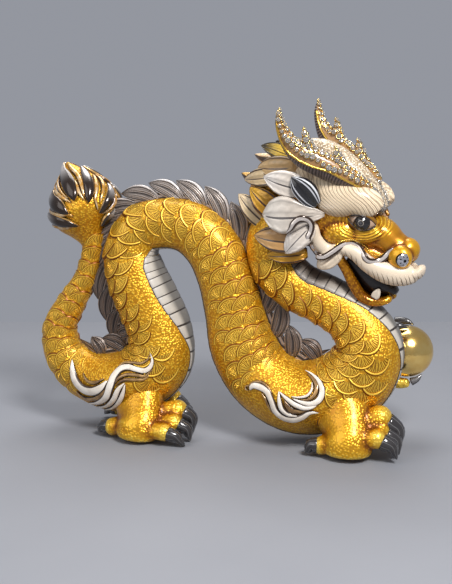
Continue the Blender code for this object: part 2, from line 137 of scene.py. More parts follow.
class Paint:
    """A material under construction: a Principled surface and the nodes that vary it."""

    def __init__(self, name, roughness, metallic=0.0, coat=0.0, **sockets):
        self.material = bpy.data.materials.new(name)
        self.material.use_nodes = True
        self.tree = self.material.node_tree
        self.surface = self.tree.nodes["Principled BSDF"]
        self.set(self.surface, Roughness=roughness, Metallic=metallic, Coat_Weight=coat, **sockets)

    def put(self, socket, value):
        """Sets a socket to a number or a colour, or links another node's output to it."""
        if isinstance(value, Value):
            self.tree.links.new(value.socket, socket)
        elif hasattr(socket.default_value, "__len__") and len(socket.default_value) == 4:
            socket.default_value = (*value, 1)
        else:
            socket.default_value = value

    def set(self, node, **values):
        for name, value in values.items():
            self.put(node.inputs[name.replace("_", " ")], value)

    def node(self, kind, settings, *values, output=0, **named):
        """Adds a node of this kind with its settings, then the values or links of its sockets."""
        made = self.tree.nodes.new(kind)
        for name, value in settings.items():
            setattr(made, name, value)
        for socket, value in zip(made.inputs, values):
            self.put(socket, value)
        self.set(made, **named)
        return Value(self, made.outputs[output])

    def read(self, name):
        """A number stored at the mesh's points under this name."""
        return self.node("ShaderNodeAttribute", {"attribute_name": name}, output="Fac")

    def place(self):
        """The point in the object's own coordinates."""
        return self.node("ShaderNodeTexCoord", {}, output="Object")

    def chart(self):
        """The two coordinates of the piece's own UV map."""
        uv = self.node("ShaderNodeUVMap", {})
        split = self.tree.nodes.new("ShaderNodeSeparateXYZ")
        self.tree.links.new(uv.socket, split.inputs[0])
        return Value(self, split.outputs[0]), Value(self, split.outputs[1])

    def ramp(self, value, *stops):
        """A colour read from stops of position and colour."""
        made = self.node("ShaderNodeValToRGB", {}, value)
        points = made.socket.node.color_ramp.elements
        while len(points) < len(stops):
            points.new(0.5)
        for point, (position, colour) in zip(points, stops):
            point.position = position
            point.color = (*colour, 1)
        return made

    def band(self, value, low, high, inside=1.0, outside=0.0):
        """Runs smoothly from `outside` at `low` to `inside` at `high`."""
        return self.node(
            "ShaderNodeMapRange", {"interpolation_type": "SMOOTHSTEP"}, value, low, high, outside, inside
        )

    def mix(self, factor, first, second):
        """One colour over another."""
        made = self.tree.nodes.new("ShaderNodeMix")
        made.data_type = "RGBA"
        for socket, value in zip((made.inputs[0], made.inputs[6], made.inputs[7]), (factor, first, second)):
            self.put(socket, value)
        return Value(self, made.outputs[2])

    def noise(self, scale, detail=2.0, stretch=(1, 1, 1), rough=0.5):
        """Clouded noise on the object's own coordinates, of this many clouds a metre."""
        where = self.node("ShaderNodeMapping", {}, self.place(), Scale=stretch)
        return self.node("ShaderNodeTexNoise", {}, Vector=where, Scale=scale, Detail=detail, Roughness=rough)

    def pebbles(self, scale, smoothness=0.4):
        """Low round pebbles, of this many a metre: one on their tops and nought between them."""
        cells = self.node(
            "ShaderNodeTexVoronoi", {"feature": "SMOOTH_F1"}, Vector=self.place(), Scale=scale,
            Smoothness=smoothness,
        )
        return self.band(cells, 0.75, 0.05)

    def finish(self, colour=None, height=None, depth=0.0, **links):
        """Connects the colour and a relief of this depth in metres, and gives the material."""
        if colour is not None:
            self.set(self.surface, Base_Color=colour)
        if height is not None:
            bump = self.node("ShaderNodeBump", {}, Height=height, Distance=depth)
            self.set(self.surface, Normal=bump)
        self.set(self.surface, **links)
        return self.material


TABLE_SIZE = 0.81
bpy.ops.object.select_all(action="DESELECT")
bpy.ops.mesh.primitive_plane_add(size=TABLE_SIZE, location=(*SHIFT[:2], 0), rotation=(0, 0, VIEW_TURN))
table = bpy.context.object
table.name = "table"
cloth = Paint("pale table", roughness=0.85)
clouded = cloth.mix(cloth.noise(9, 4), (0.235, 0.24, 0.26), (0.20, 0.205, 0.225))
table.data.materials.append(cloth.finish(clouded))

# The body skin: the plain tube of the casting under the scales, from the tuft's root to the inside of the
# head. It is pebbled clay under a pearly amber glaze that pools orange-brown in the hollows.
BODY_LINE = [
    (-91.8, 133.8, 8.4), (-93.0, 119.0, 7.6), (-97.4, 104.5, 8.0), (-108.0, 86.5, 10.0),
    (-117.6, 68.0, 12.0), (-115.0, 50.5, 14.4), (-101.0, 37.5, 17.0), (-81.0, 32.3, 20.4),
    (-61.0, 36.0, 22.6), (-46.0, 51.0, 23.0), (-45.5, 68.0, 21.8), (-53.8, 88.1, 21.4),
    (-62.0, 106.0, 20.4), (-65.0, 122.0, 18.5), (-57.5, 136.3, 17.0), (-41.3, 141.0, 16.8),
    (-24.0, 138.6, 17.7), (-9.5, 127.5, 18.8), (0.0, 108.5, 19.1), (6.0, 86.0, 20.0),
    (13.0, 60.5, 22.7), (27.0, 40.8, 23.8), (48.0, 31.0, 24.6), (70.4, 35.0, 24.6),
    (87.5, 48.5, 24.0), (93.0, 66.0, 22.0), (84.5, 81.8, 18.6), (66.0, 93.8, 16.5),
    (45.5, 103.5, 16.5), (33.0, 116.5, 17.0), (31.0, 131.5, 17.2), (43.1, 147.9, 16.5),
]
BODY_WIDTH = 0.94
UNDER_SCALES = 0.5


def distances_along(points):
    """How far along a line each of its points lies."""
    return np.concatenate([[0], np.cumsum(np.linalg.norm(np.diff(points, axis=0), axis=1))])


def between(wanted, at, table):
    """Rows of a table read at places between its own."""
    return np.stack([np.interp(wanted, at, column) for column in table.T], axis=-1)


def smooth(stations, count):
    """Stations read at even distances along the smooth curve through the given ones."""
    given = np.array(stations, float)
    if len(given) == 2:
        return np.linspace(given[0], given[1], count)
    knots = distances_along(given[:, :3])
    slopes = np.gradient(given, knots, axis=0)
    fine = []
    for i, span in enumerate(np.diff(knots)):
        t = np.linspace(0, 1, 25)[:, None]
        a, b = given[i], given[i + 1]
        ma, mb = slopes[i] * span, slopes[i + 1] * span
        fine.append(
            (2 * t**3 - 3 * t**2 + 1) * a + (t**3 - 2 * t**2 + t) * ma
            + (3 * t**2 - 2 * t**3) * b + (t**3 - t**2) * mb
        )
    fine = np.concatenate(fine)
    length = distances_along(fine[:, :3])
    return between(np.linspace(0, length[-1], count), length, fine)


BODY_ROWS = smooth([(x, 0, z, r) for x, z, r in BODY_LINE], 1600)
BODY_AT = distances_along(BODY_ROWS[:, :3])
BODY_LENGTH = BODY_AT[-1]


def body_frame(distance):
    """Centres, forward and back directions and half thicknesses at distances along the body's line."""
    centre, low, high = (
        between(d, BODY_AT, BODY_ROWS[:, :3])
        for d in (distance, np.maximum(distance - 1, 0), np.minimum(distance + 1, BODY_LENGTH))
    )
    forward = high - low
    forward /= np.linalg.norm(forward, axis=-1, keepdims=True)
    back = np.stack([-forward[..., 2], 0 * distance, forward[..., 0]], axis=-1)
    return centre, forward, back, np.interp(distance, BODY_AT, BODY_ROWS[:, 3])


# Each haunch swells the flank sideways: its side, place in x and z, reach in x and z, and rise
HAUNCHES = [
    (-1, -70, 37, 33, 27, 7.0), (1, -82, 37, 33, 27, 7.0),
    (-1, 52, 37, 36, 28, 6.5), (1, 60, 40, 36, 28, 6.5),
]


def mound(points, x, z, wide, high):
    """A round rise about a place in x and z: one on its top and nought beside it."""
    away = ((points[..., 0] - x) / wide) ** 2 + ((points[..., 2] - z) / high) ** 2
    return np.clip(1 - away, 0, 1) ** 1.5


def haunch_share(points):
    """How far up a haunch each point lies, from nought beside it to one on its top."""
    share = np.zeros(points.shape[:-1])
    for side, *spot, _ in HAUNCHES:
        share = np.maximum(share, mound(points, *spot) * (points[..., 1] * side > 0))
    return share


def body_skin(distance, angle, lift):
    """Points on the body's skin; the angle runs from the back round the -Y side to the belly."""
    distance = np.clip(distance, 0, BODY_LENGTH)
    centre, _, back, radius = body_frame(distance)
    reach = (radius + lift)[..., None]
    points = centre + back * reach * np.cos(angle)[..., None]
    points[..., 1] -= (radius + lift) * BODY_WIDTH * np.sin(angle)
    for side, *spot, rise in HAUNCHES:
        flank = np.clip(points[..., 1] * side / (radius * BODY_WIDTH), 0, 1)
        points[..., 1] += side * rise * mound(points, *spot) * flank
    return points


def at_ends(v):
    """Where a form's two ends close."""
    return (v < 1e-6) | (v > 1 - 1e-6)


def read_rows(items, what, size, kind=float):
    """One property of all the items of a mesh, in rows of this many numbers."""
    values = np.empty(size * len(items), kind)
    items.foreach_get(what, values)
    return values.reshape(-1, size)


def mark(piece, name, values):
    """Keeps a number for each point of the piece, for its material to read."""
    piece.data.attributes.new(name, "FLOAT", "POINT").data.foreach_set("value", np.array(values, float))


def shaped(name, across, along, forms, tones=None):
    """Flat grids of cells whose points go to form(u, v), in drawing millimetres, as one closed piece.

    u and v run from 0 to 1, and stay with the piece as its UV map. A tone for each form stays as a mark.
    """
    forms = forms if isinstance(forms, list) else [forms]
    bpy.ops.object.select_all(action="DESELECT")
    bpy.ops.mesh.primitive_grid_add(x_subdivisions=across, y_subdivisions=along, size=2)
    flat = bpy.context.object
    u, v = (read_rows(flat.data.vertices, "co", 3)[:, :2].T + 1) / 2
    chart = read_rows(flat.data.uv_layers[0].data, "uv", 2).ravel()
    faces = np.array([tuple(face.vertices) for face in flat.data.polygons])
    bpy.data.objects.remove(flat)
    corners, copies = len(u), len(forms)
    placed = np.concatenate([form(u, v) for form in forms]) * MM + SHIFT
    every = (faces[None] + (np.arange(copies) * corners)[:, None, None]).reshape(-1, 4)
    mesh = bpy.data.meshes.new(name)
    mesh.from_pydata(placed.tolist(), [], every.tolist())
    mesh.uv_layers.new(name="UVMap").data.foreach_set("uv", np.tile(chart, copies))
    piece = bpy.data.objects.new(name, mesh)
    bpy.context.scene.collection.objects.link(piece)
    if tones is not None:
        mark(piece, "tone", np.repeat(tones, corners))
    sealed(piece)
    mesh.shade_smooth()
    return piece


def sealed(piece, gap=2e-6):
    """Welds the points that meet and turns the faces outwards."""
    bpy.ops.object.select_all(action="DESELECT")
    bpy.context.view_layer.objects.active = piece
    bpy.ops.object.mode_set(mode="EDIT")
    bpy.ops.mesh.select_all(action="SELECT")
    bpy.ops.mesh.remove_doubles(threshold=gap)
    bpy.ops.mesh.normals_make_consistent(inside=False)
    bpy.ops.object.mode_set(mode="OBJECT")


def belongs(piece, material, node="dragon"):
    """The piece is part of the casting or the ball, with this finish."""
    piece.data.materials.clear()
    piece.data.materials.append(material)
    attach(piece, "root")
    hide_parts(node)
    return piece


GOLD_DEEP = (0.21, 0.062, 0.001)
GOLD_AMBER = (0.52, 0.215, 0.005)
GOLD_YELLOW = (0.76, 0.400, 0.014)
GOLD_BRIGHT = (0.95, 0.640, 0.085)
GOLD_FINISH = dict(roughness=0.40, metallic=0.6, coat=0.15, Coat_Roughness=0.25)


def gold_ramp(paint, height):
    """The glaze's colour at a height, from the pooled hollows to the rubbed high edges; in some glazes the
    height also carries painted shade in creases and under scale edges, and a painted highlight on scale rims.
    """
    return paint.ramp(height, (0.0, GOLD_DEEP), (0.34, GOLD_AMBER), (0.66, GOLD_YELLOW), (1.0, GOLD_BRIGHT))


def pebbled_gold():
    """Amber glaze over fine round pebbles."""
    paint = Paint("pebbled amber glaze", **GOLD_FINISH)
    pebbles = paint.pebbles(680)
    height = pebbles * 0.48 + paint.noise(40, 2) * 0.30 + 0.24
    return paint.finish(gold_ramp(paint, height), pebbles, 0.0003)


def whole_body(u, v):
    """The tube of the body; its two ends close in the tuft and in the head."""
    distance = v * BODY_LENGTH
    lift = np.where(at_ends(v), -body_frame(distance)[3], -UNDER_SCALES)
    return body_skin(distance, u * math.tau, lift)


pebbled = pebbled_gold()
body = belongs(shaped("body_skin", 96, 560, whole_body), pebbled)

# The scales: rows of overlapping round fans in the clay, each with a rolled rim and ribs that spread from its
# middle. Free edges face the tail, and the scales sink into the skin near crest, belly and haunches.
SCALE_PITCH = 9.8
SCALE_SPACING = 10.3
SCALE_RADIUS = 11.2
SCALE_TILT = 0.105
SCALE_ROLL = 0.026
SCALE_SUNK = 0.65
SCALE_FROM = math.radians(-56)
SCALE_TO = math.radians(74)
FLANK = math.radians(66)
CREST = math.radians(10)
# Degrees round the body from the last scale's middle to the belly, on the hind half and on the chest
MARGIN = (44, 30)
# Half the belly's width in degrees round the body, at shares of the body's length
BELLY_EDGE = [
    (0.20, 2), (0.29, 14), (0.30, 27), (0.315, 46), (0.325, 53), (0.345, 58), (0.38, 57), (0.385, 53),
    (0.405, 38), (0.42, 30), (0.445, 22), (0.60, 22), (0.78, 12), (0.80, 16), (0.815, 34), (0.83, 44),
    (0.84, 49), (0.855, 57), (0.885, 64), (0.90, 66), (0.915, 63), (0.93, 52), (0.96, 42), (1.0, 38),
]
# Shares of the way from a scale's middle to its edge, with the relief there in millimetres
SCALE_PROFILE = [
    (0.28, 0.0), (0.81, 0.0), (0.855, -0.20), (0.895, 0.06), (0.94, 0.16), (0.975, 0.04), (1.03, -1.2),
]


def belly_half(distance):
    """Half the belly's width round the body, as an angle."""
    return np.radians(np.interp(distance / BODY_LENGTH, *np.array(BELLY_EDGE).T))


def scale_places():
    """Distances along the body and angles round it, with how deep each scale is sunk."""
    places = []
    for row in range(1, int(BODY_LENGTH / SCALE_PITCH) - 1):
        distance = row * SCALE_PITCH
        radius = np.interp(distance, BODY_AT, BODY_ROWS[:, 3])
        margin = np.interp(distance / BODY_LENGTH, (0.70, 0.84), MARGIN)
        last = math.pi - belly_half(distance) - math.radians(margin)
        for column in range(-6, 7):
            turn = FLANK + (column + 0.5 * (row % 2)) * SCALE_SPACING / radius
            if CREST < turn < last:
                places += [(distance, turn, side, last - turn) for side in (1, -1)]
    distance, turn, side, left = np.array(places).T
    middle = body_skin(distance, turn * side, 0 * distance)
    sink = 1.3 * np.clip(1 - (turn - CREST) / 0.3, 0, 1) + 0.6 * np.clip(1 - left / 0.3, 0, 1)
    sink += 2.6 * np.clip(haunch_share(middle) * 1.8 - 0.3, 0, 1)
    keep = sink < 1.9
    return distance[keep], turn[keep], side[keep], sink[keep]


def scale_form(distance, turn, side, sink):
    """One fan laid on the body's skin."""
    radius = np.interp(distance, BODY_AT, BODY_ROWS[:, 3])
    share, relief = np.array(SCALE_PROFILE).T

    def form(u, v):
        steps = np.linspace(0, 1, len(share))
        out = np.interp(v, steps, share) * SCALE_RADIUS
        angle = SCALE_FROM + u * (SCALE_TO - SCALE_FROM)
        tailwards, bellywards = out * np.cos(angle), out * np.sin(angle)
        lift = np.interp(v, steps, relief) + SCALE_TILT * tailwards + SCALE_ROLL * bellywards
        return body_skin(distance - tailwards, side * (turn + bellywards / radius), lift - SCALE_SUNK - sink)

    return form


SCALE_RIBS = 18


def scaled_gold():
    """Amber glaze that pools between a scale's ribs and inside its rim, darker under its edge with dark glaze
    and a painted shadow, and with a painted highlight along the rim.
    """
    paint = Paint("scaled amber glaze", **GOLD_FINISH)
    u, v = paint.chart()
    ribs = ((u + paint.noise(250, 1) * 0.02) * (math.tau * SCALE_RIBS)).math("COSINE")
    field = paint.band(v, 0.26, 0.17)
    hollow = paint.band(ribs, 0.2, -0.9) * field
    line = paint.band(v.gap(0.33), 0.12, 0.03)
    # Painted shadow with dark glaze: each scale darkened under its free edge.
    under = paint.band(v, 0.62, 0.74)
    # Painted highlight: the rolled rim a little lighter.
    rim = paint.band(v.gap(0.52), 0.14, 0.05) * 0.12
    height = 0.80 - hollow * 0.72 - line * 0.60 - under * 1.0 + rim + paint.noise(45, 2) * 0.36 - 0.16
    return paint.finish(gold_ramp(paint, height), 1 - hollow - line * 0.6, 0.0005)


laid = [scale_form(*place) for place in zip(*scale_places())]
belongs(shaped("scales", 10, len(SCALE_PROFILE) - 1, laid), scaled_gold())

# The belly: flat overlapping plates in the clay from hip to throat, in cream glaze with dark lines between
# them and along the gold, browner on the neck with painted shade under the head, and painted shade along the
# middle of the strip.
PLATE = 6.4
BELLY_FROM = 0.20
BELLY_TO = 0.995


def belly_form(u, v):
    """A strip of plates under the body, its edges tucked into the gold skin."""
    distance = BODY_LENGTH * (BELLY_FROM + v * (BELLY_TO - BELLY_FROM))
    across = u * 2 - 1
    groove = np.abs((distance / PLATE) % 1 - 0.5) * 2
    lift = 0.15 - 0.4 * groove**8 - 1.6 * np.clip(np.abs(across) - 0.95, 0, 1) / 0.05
    return body_skin(distance, math.pi + across * belly_half(distance), lift)


def belly_glaze():
    """Cream-grey glaze with a thin dark line between plates and along the gold, painted shade along the
    middle, and brown with painted shade towards the throat.
    """
    paint = Paint("belly glaze", roughness=0.5, coat=0.08, Coat_Roughness=0.2)
    u, v = paint.chart()
    distance = v * (BODY_LENGTH * (BELLY_TO - BELLY_FROM) / PLATE) + BODY_LENGTH * BELLY_FROM / PLATE
    line = paint.band(distance.fold(), 0.425, 0.455)
    edge = paint.band(u.gap(0.5), 0.442, 0.458)
    # Brown glaze with painted shade under the head, towards the throat.
    neck_tone_and_shade = paint.band(v, 0.80, 0.88)
    clouds = paint.mix(paint.noise(90, 4), (0.54, 0.49, 0.42), (0.38, 0.345, 0.30))
    # Painted shade: the middle of the strip darkened to a near-black grey.
    colour = paint.mix(paint.band(u.gap(0.5), 0.33, 0.17) * 0.85, clouds, (0.085, 0.080, 0.074))
    colour = paint.mix(neck_tone_and_shade * 0.9, colour, (0.120, 0.090, 0.070))
    return paint.finish(paint.mix(line.math("MAXIMUM", edge), colour, (0.030, 0.022, 0.018)))


plates = int(BODY_LENGTH * (BELLY_TO - BELLY_FROM) / PLATE)
belongs(shaped("belly_plates", 18, plates * 8, belly_form), belly_glaze())

# The fins: overlapping clay leaves along the back, over a low ridge, each with a raised outline and a vein.
# Their glaze is silver grey over the top of the arch and turns dark brown towards the hip and the mane.
FIN_PITCH = 16.4
FIN_FROM = 0.13
FIN_TO = 0.80
FIN_REACH = 11.5
FIN_RISE = 10.5
FIN_THICKNESS = 4.6
CREST_STEPS = 900
# Tones of the leaves at shares of the way from hip to mane: nought is dark brown and one is silver
FIN_TONES = ((0, 0.20), (0.30, 0.10), (0.42, 0.30), (0.50, 0.95), (0.62, 0.30), (1, 0.05))
# Widths of a fin's leaf at shares of its length
LEAF_SPREAD = (
    (0, 0), (0.03, 0.45), (0.15, 0.72), (0.32, 0.94), (0.5, 1.0), (0.68, 0.88), (0.84, 0.58), (1, 0),
)


def unit(vector):
    """The direction of a vector, one long."""
    return np.array(vector, float) / np.linalg.norm(vector)


def leaf_form(root, tip, half_width, across, thickness, bow=0.0, sweep=0.0, place=None, spread=LEAF_SPREAD):
    """A pointed leaf, thickest along its middle, with a raised edge and a groove for its vein.

    It is bowed out of its plane and swept within it by shares of its length.
    """
    root, tip = np.array(root, float), np.array(tip, float)
    length = np.linalg.norm(tip - root)
    along = (tip - root) / length
    wide = unit(np.array(across, float) - along * np.dot(across, along))
    out = np.cross(along, wide)
    at, size = np.array(smooth([(a, b, 0) for a, b in spread], 80)).T[:2]

    def form(u, v):
        c, s = np.cos(u * math.tau), np.sin(u * math.tau)
        width = np.interp(v, at, size)
        body = np.clip(np.abs(s), 0, 1) ** 0.8 * np.sign(s)
        ridge = 0.30 * np.exp(-(((np.abs(c) - 0.84) / 0.09) ** 2)) - 0.30 * np.exp(-((c / 0.07) ** 2))
        plump = body * (0.5 + 0.12 * (1 - c**2)) + ridge * np.sign(s)
        lens = plump * thickness * np.minimum(width + 0.12, 1)
        lens = np.where(at_ends(v), 0, lens)
        arc = np.sin(math.pi * v)
        points = (
            root + np.outer(v * length, along) + np.outer(arc * bow * length + lens, out)
            + np.outer(arc * sweep * length + c * width * half_width, wide)
        )
        return placed_by(place, points)

    return form


def placed_by(matrix, points):
    """The points after a 4 by 4 matrix, or as they are without one."""
    if matrix is None:
        return points
    matrix = np.array(matrix)
    return points @ matrix[:3, :3].T + matrix[:3, 3]


def tube_form(stations, across=(0, 1, 0), place=None, relief=None):
    """A closed tube through stations of x, y, z, half width along `across` and half depth.

    `across` is one direction, or one for each station.
    """
    rows = smooth(stations, 160)
    along = np.gradient(rows[:, :3], axis=0)
    along /= np.linalg.norm(along, axis=1, keepdims=True)
    at = np.linspace(0, 1, len(rows))
    across = np.atleast_2d(np.array(across, float))
    across = between(at, np.linspace(0, 1, len(across)), across)
    wide = across - along * np.sum(along * across, axis=1, keepdims=True)
    wide /= np.linalg.norm(wide, axis=1, keepdims=True)
    deep = np.cross(along, wide)

    def form(u, v):
        station, side, out = (between(v, at, table) for table in (rows, wide, deep))
        lift = relief(u, v) if relief else 0.0
        c = np.cos(u * math.tau) * (station[:, 3] + lift) * ~at_ends(v)
        s = np.sin(u * math.tau) * (station[:, 4] + lift) * ~at_ends(v)
        return placed_by(place, station[:, :3] + side * c[:, None] + out * s[:, None])

    return form


def fin_forms():
    """The leaves from the hip over the arch and round to the mane, with the tone of each."""
    forms, tones = [], []
    distances = np.linspace(FIN_FROM, FIN_TO, CREST_STEPS) * BODY_LENGTH
    centres, _, backs, radii = body_frame(distances)
    crest = centres + backs * radii[:, None]
    along_crest = distances_along(crest)
    for place in np.arange(FIN_REACH, along_crest[-1] - FIN_REACH, FIN_PITCH):
        ends = np.interp((place + FIN_REACH, place, place - FIN_REACH), along_crest, distances)
        centre, _, back, radius = body_frame(ends)
        size = np.clip(radius[1] / 17, 0.75, 1.05)
        root = centre[0] + back[0] * (radius[0] - 2.5)
        tip = centre[2] + back[2] * (radius[2] + FIN_RISE * size)
        forms.append(leaf_form(root, tip, 5.8 * size, back[1], FIN_THICKNESS, sweep=0.10))
        share = (ends[1] - distances[0]) / (distances[-1] - distances[0])
        tones.append(np.interp(share, *np.array(FIN_TONES).T))
    ridge = [(*point, 1.6, 4.2) for point in (centres + backs * (radii[:, None] - 0.5))[::15]]
    return forms + [tube_form(ridge)], tones + [0.15]


def fin_glaze():
    """Brown-black leaves that turn to silver with the tone, each with a pale rolled rim and fine strokes."""
    paint = Paint("fin glaze", roughness=0.34, metallic=0.25, coat=0.25, Coat_Roughness=0.2)
    u, v = paint.chart()
    tone = paint.read("tone")
    off = u.swing("COSINE")
    strokes = (off * 30 + v * 6 + paint.noise(160, 2) * 4).math("SINE") * 0.5 + 0.5
    body = paint.mix(tone, (0.110, 0.066, 0.043), (0.42, 0.36, 0.32))
    dark = paint.mix(tone, (0.020, 0.012, 0.009), (0.085, 0.068, 0.060))
    light = paint.mix(tone, (0.20, 0.135, 0.095), (0.64, 0.60, 0.58))
    outline = paint.band(off.gap(0.70), 0.10, 0.05)
    vein = paint.band(off, 0.12, 0.05)
    colour = paint.mix(strokes * 0.6, body, dark)
    colour = paint.mix(outline.math("MAXIMUM", vein), colour, dark)
    colour = paint.mix(paint.band(off, 0.80, 0.86), colour, light)
    colour = paint.mix(paint.band(off, 0.96, 0.99), colour, dark)
    return paint.finish(colour, strokes, 0.0003)


forms, tones = fin_forms()
belongs(shaped("fins", 28, 18, forms, tones), fin_glaze())

# The tuft: a bud at the tail's end, of pebbled gold with dark glossy petals laid up round it to the tip.
# Each ring of the bud: x, z and half width
TUFT_RINGS = [
    (-92.2, 120.0, 6.0), (-93.0, 127.0, 7.5), (-95.5, 132.5, 11.5), (-98.0, 137.5, 16.5),
    (-98.4, 143.0, 20.5), (-97.8, 150.0, 22.5), (-98.6, 158.0, 20.3), (-100.8, 165.4, 15.5),
    (-103.4, 171.0, 10.3), (-106.0, 175.5, 5.6), (-109.4, 180.0, 0.6),
]
TUFT_DEPTH = 0.86
TUFT_LEAN = math.radians(12)
# Petals, strands and flames were picked in enlarged parts of the photo. Each part has its corner in
# pixels of the photo, and how many times it was enlarged.
TUFT_PART = ((40, 155), 17.42)
# Each dark petal from its tip to its foot: across, down and half width in the part; both faces have them.
# At the outer edge, where the bud turns out of sight, a row is x, y, z and half width in millimetres.
PETALS = [
    [(-110.5, 0, 180, 0.3), (440, 271, 50), (485, 430, 95), (550, 600, 100), (600, 740, 55), (610, 815, 4)],
    [(690, 225, 3), (770, 340, 55), (830, 480, 75), (855, 640, 72), (850, 770, 40), (850, 845, 3)],
    [(1140, 520, 3), (1195, 620, 50), (1190, 740, 70), (1120, 870, 65), (1050, 960, 30), (1010, 1000, 3)],
    [(-76, -2, 150.5, 0.3), (-77, -4, 147, 2.3), (-79.5, -5.5, 144, 3.0), (-82, -6, 141, 2.2),
     (-84, -7, 139, 0.3)],
    [(-115, -2, 163.5, 0.3), (-116, -5, 158.5, 2.4), (270, 810, 100), (370, 910, 95), (460, 985, 50),
     (530, 1030, 4)],
    [(-118.5, -3, 147, 0.3), (260, 1100, 70), (400, 1150, 80), (540, 1180, 50), (680, 1215, 4)],
]
# The thin pale strands between them, listed the same way
STRANDS = [
    [(490, 150, 3), (560, 260, 32), (660, 370, 36), (710, 480, 34), (745, 600, 30), (775, 760, 4)],
    [(520, 330, 3), (590, 450, 28), (650, 560, 30), (700, 680, 26), (780, 800, 3)],
    [(905, 350, 3), (960, 470, 34), (975, 620, 34), (960, 780, 22), (1000, 960, 3)],
    [(-90.5, -1, 171.5, 0.2), (1040, 450, 32), (1085, 570, 34), (1070, 700, 26), (1020, 850, 4)],
    [(-77, -1, 160.5, 0.2), (-76, -2, 157, 1.5), (-76, -3.5, 153.5, 1.6), (-77.5, -6.5, 150.5, 1.1),
     (1060, 1010, 4)],
    [(-111.5, -1.5, 173.5, 0.2), (-112.5, -3.5, 169, 1.0), (-114, -4.5, 164.5, 1.4), (320, 650, 36),
     (430, 760, 34), (560, 835, 4)],
    [(-111.5, -2.5, 173, 0.2), (-112, -6, 168, 0.8), (355, 560, 22), (400, 660, 22), (510, 770, 3)],
    [(-118.5, -4, 150, 0.2), (250, 1010, 30), (380, 1040, 34), (520, 1030, 22), (600, 1060, 3)],
    [(-117.5, -4, 140, 0.2), (330, 1230, 34), (470, 1240, 36), (600, 1215, 22), (690, 1225, 3)],
]


def bud_form(u, v):
    """The bud, leaning a little: its height runs from the tail to the tip, and its turn starts at +X."""
    rows = smooth([(x, 0, z, r) for x, z, r in TUFT_RINGS], 200)
    x, _, z, r = between(v, np.linspace(0, 1, len(rows)), rows).T
    turn = u * math.tau
    return np.stack([
        x + r * np.cos(turn) * math.cos(TUFT_LEAN), -r * TUFT_DEPTH * np.sin(turn),
        z + r * np.cos(turn) * math.sin(TUFT_LEAN),
    ], axis=-1)


def points_of(piece, place):
    """The piece's points in the drawing's millimetres, as they were before this placing."""
    return placed_by(place.inverted(), (read_rows(piece.data.vertices, "co", 3) - SHIFT) / MM)


NEAR = Matrix.Identity(4)
MIRROR = Matrix.Diagonal((1, -1, 1, 1))


def surface(piece, place=NEAR):
    """The piece's skin, to lay things on; its faces are turned round where the placing mirrors them."""
    points = points_of(piece, place)
    order = -1 if place.determinant() < 0 else 1
    faces = [tuple(face.vertices)[::order] for face in piece.data.polygons]
    return BVHTree.FromPolygons([Vector(point) for point in points], faces)


# A pick beside the skin is taken at this depth
BESIDE = -4


def seen(skin, right, up):
    """The skin's point that the camera sees this many pixels right of and above the picture's middle."""
    eye = (camera_place.translation - Vector(SHIFT)) / MM
    sight = camera_place.to_3x3() @ Vector((right, up, -FOCAL_PIXELS)).normalized()
    beside = eye + sight * ((BESIDE - eye.y) / sight.y)
    return skin.ray_cast(eye, sight)[0] or skin.find_nearest(beside)[0]


def picked(skin, routes, part, wider):
    """Routes picked in an enlarged part of the photo, as points on the skin seen there, with half widths.

    A row of four numbers is in millimetres already, and stays as it is.
    """
    corner, enlarged = part
    found = []
    for route in routes:
        rows = []
        for *place, wide in route:
            if len(place) == 2:
                right = corner[0] + place[0] / enlarged - PICTURE_WIDTH / 2
                up = PICTURE_HEIGHT / 2 - corner[1] - place[1] / enlarged
                place = seen(skin, right, up)
                wide = wide / enlarged * PIXEL + wider
            rows.append((*place, wide))
        found.append(rows)
    return found


LAID_WIDER = 1.2
EVENED = 7


def evened(column):
    """Each number replaced by the mean of its neighbours and itself."""
    return np.convolve(np.pad(column, EVENED // 2, mode="edge"), np.ones(EVENED) / EVENED, "valid")


def laid_form(skin, route, thick, place=None, lift=0.0):
    """A strap laid flat on a skin, through points with half widths, and thinner where it narrows."""
    rows = smooth(route, 60) * (1, 1, 1, LAID_WIDER)
    found = [skin.find_nearest(Vector(row[:3])) for row in rows]
    facing = np.array([normal for _, normal, _, _ in found])
    facing = np.stack([evened(column) for column in facing.T], 1)
    centres = np.array([point for point, _, _, _ in found]) + facing * lift
    share = rows[:, 3] / rows[:, 3].max()
    return tube_form(np.column_stack([centres, thick * share**0.6, rows[:, 3]]), facing, place)


def petal_glaze():
    """Near-black gunmetal glaze with a painted silver highlight towards the tip, and a fine gold edge."""
    paint = Paint("petal glaze", roughness=0.22, metallic=0.45, coat=0.5, Coat_Roughness=0.1)
    u, v = paint.chart()
    edge_off = u.swing("SINE")
    # Painted highlight: silver streaks over the middle of each face towards the tip.
    white = paint.band(v, 0.62, 0.12) * paint.band(edge_off, 1.0, 0.35) * 0.95
    streaks = paint.noise(60, 3, stretch=(1, 1, 0.25))
    silver = paint.mix(streaks, (0.72, 0.68, 0.65), (0.40, 0.36, 0.34))
    colour = paint.mix(white, (0.028, 0.016, 0.010), silver)
    return paint.finish(paint.mix(paint.band(edge_off, 0.93, 0.97), colour, (0.50, 0.30, 0.10)))


def strand_glaze():
    """Gold that runs to white, between brown lines."""
    paint = Paint("strand glaze", roughness=0.24, metallic=0.4, coat=0.4, Coat_Roughness=0.12)
    u, v = paint.chart()
    off = u.swing("SINE")
    clouds = paint.band(paint.noise(220, 2), 0.38, 0.62)
    colour = paint.mix(clouds, (0.66, 0.48, 0.27), (0.50, 0.24, 0.03))
    return paint.finish(paint.mix(paint.band(off, 0.62, 0.78), colour, (0.055, 0.026, 0.014)))


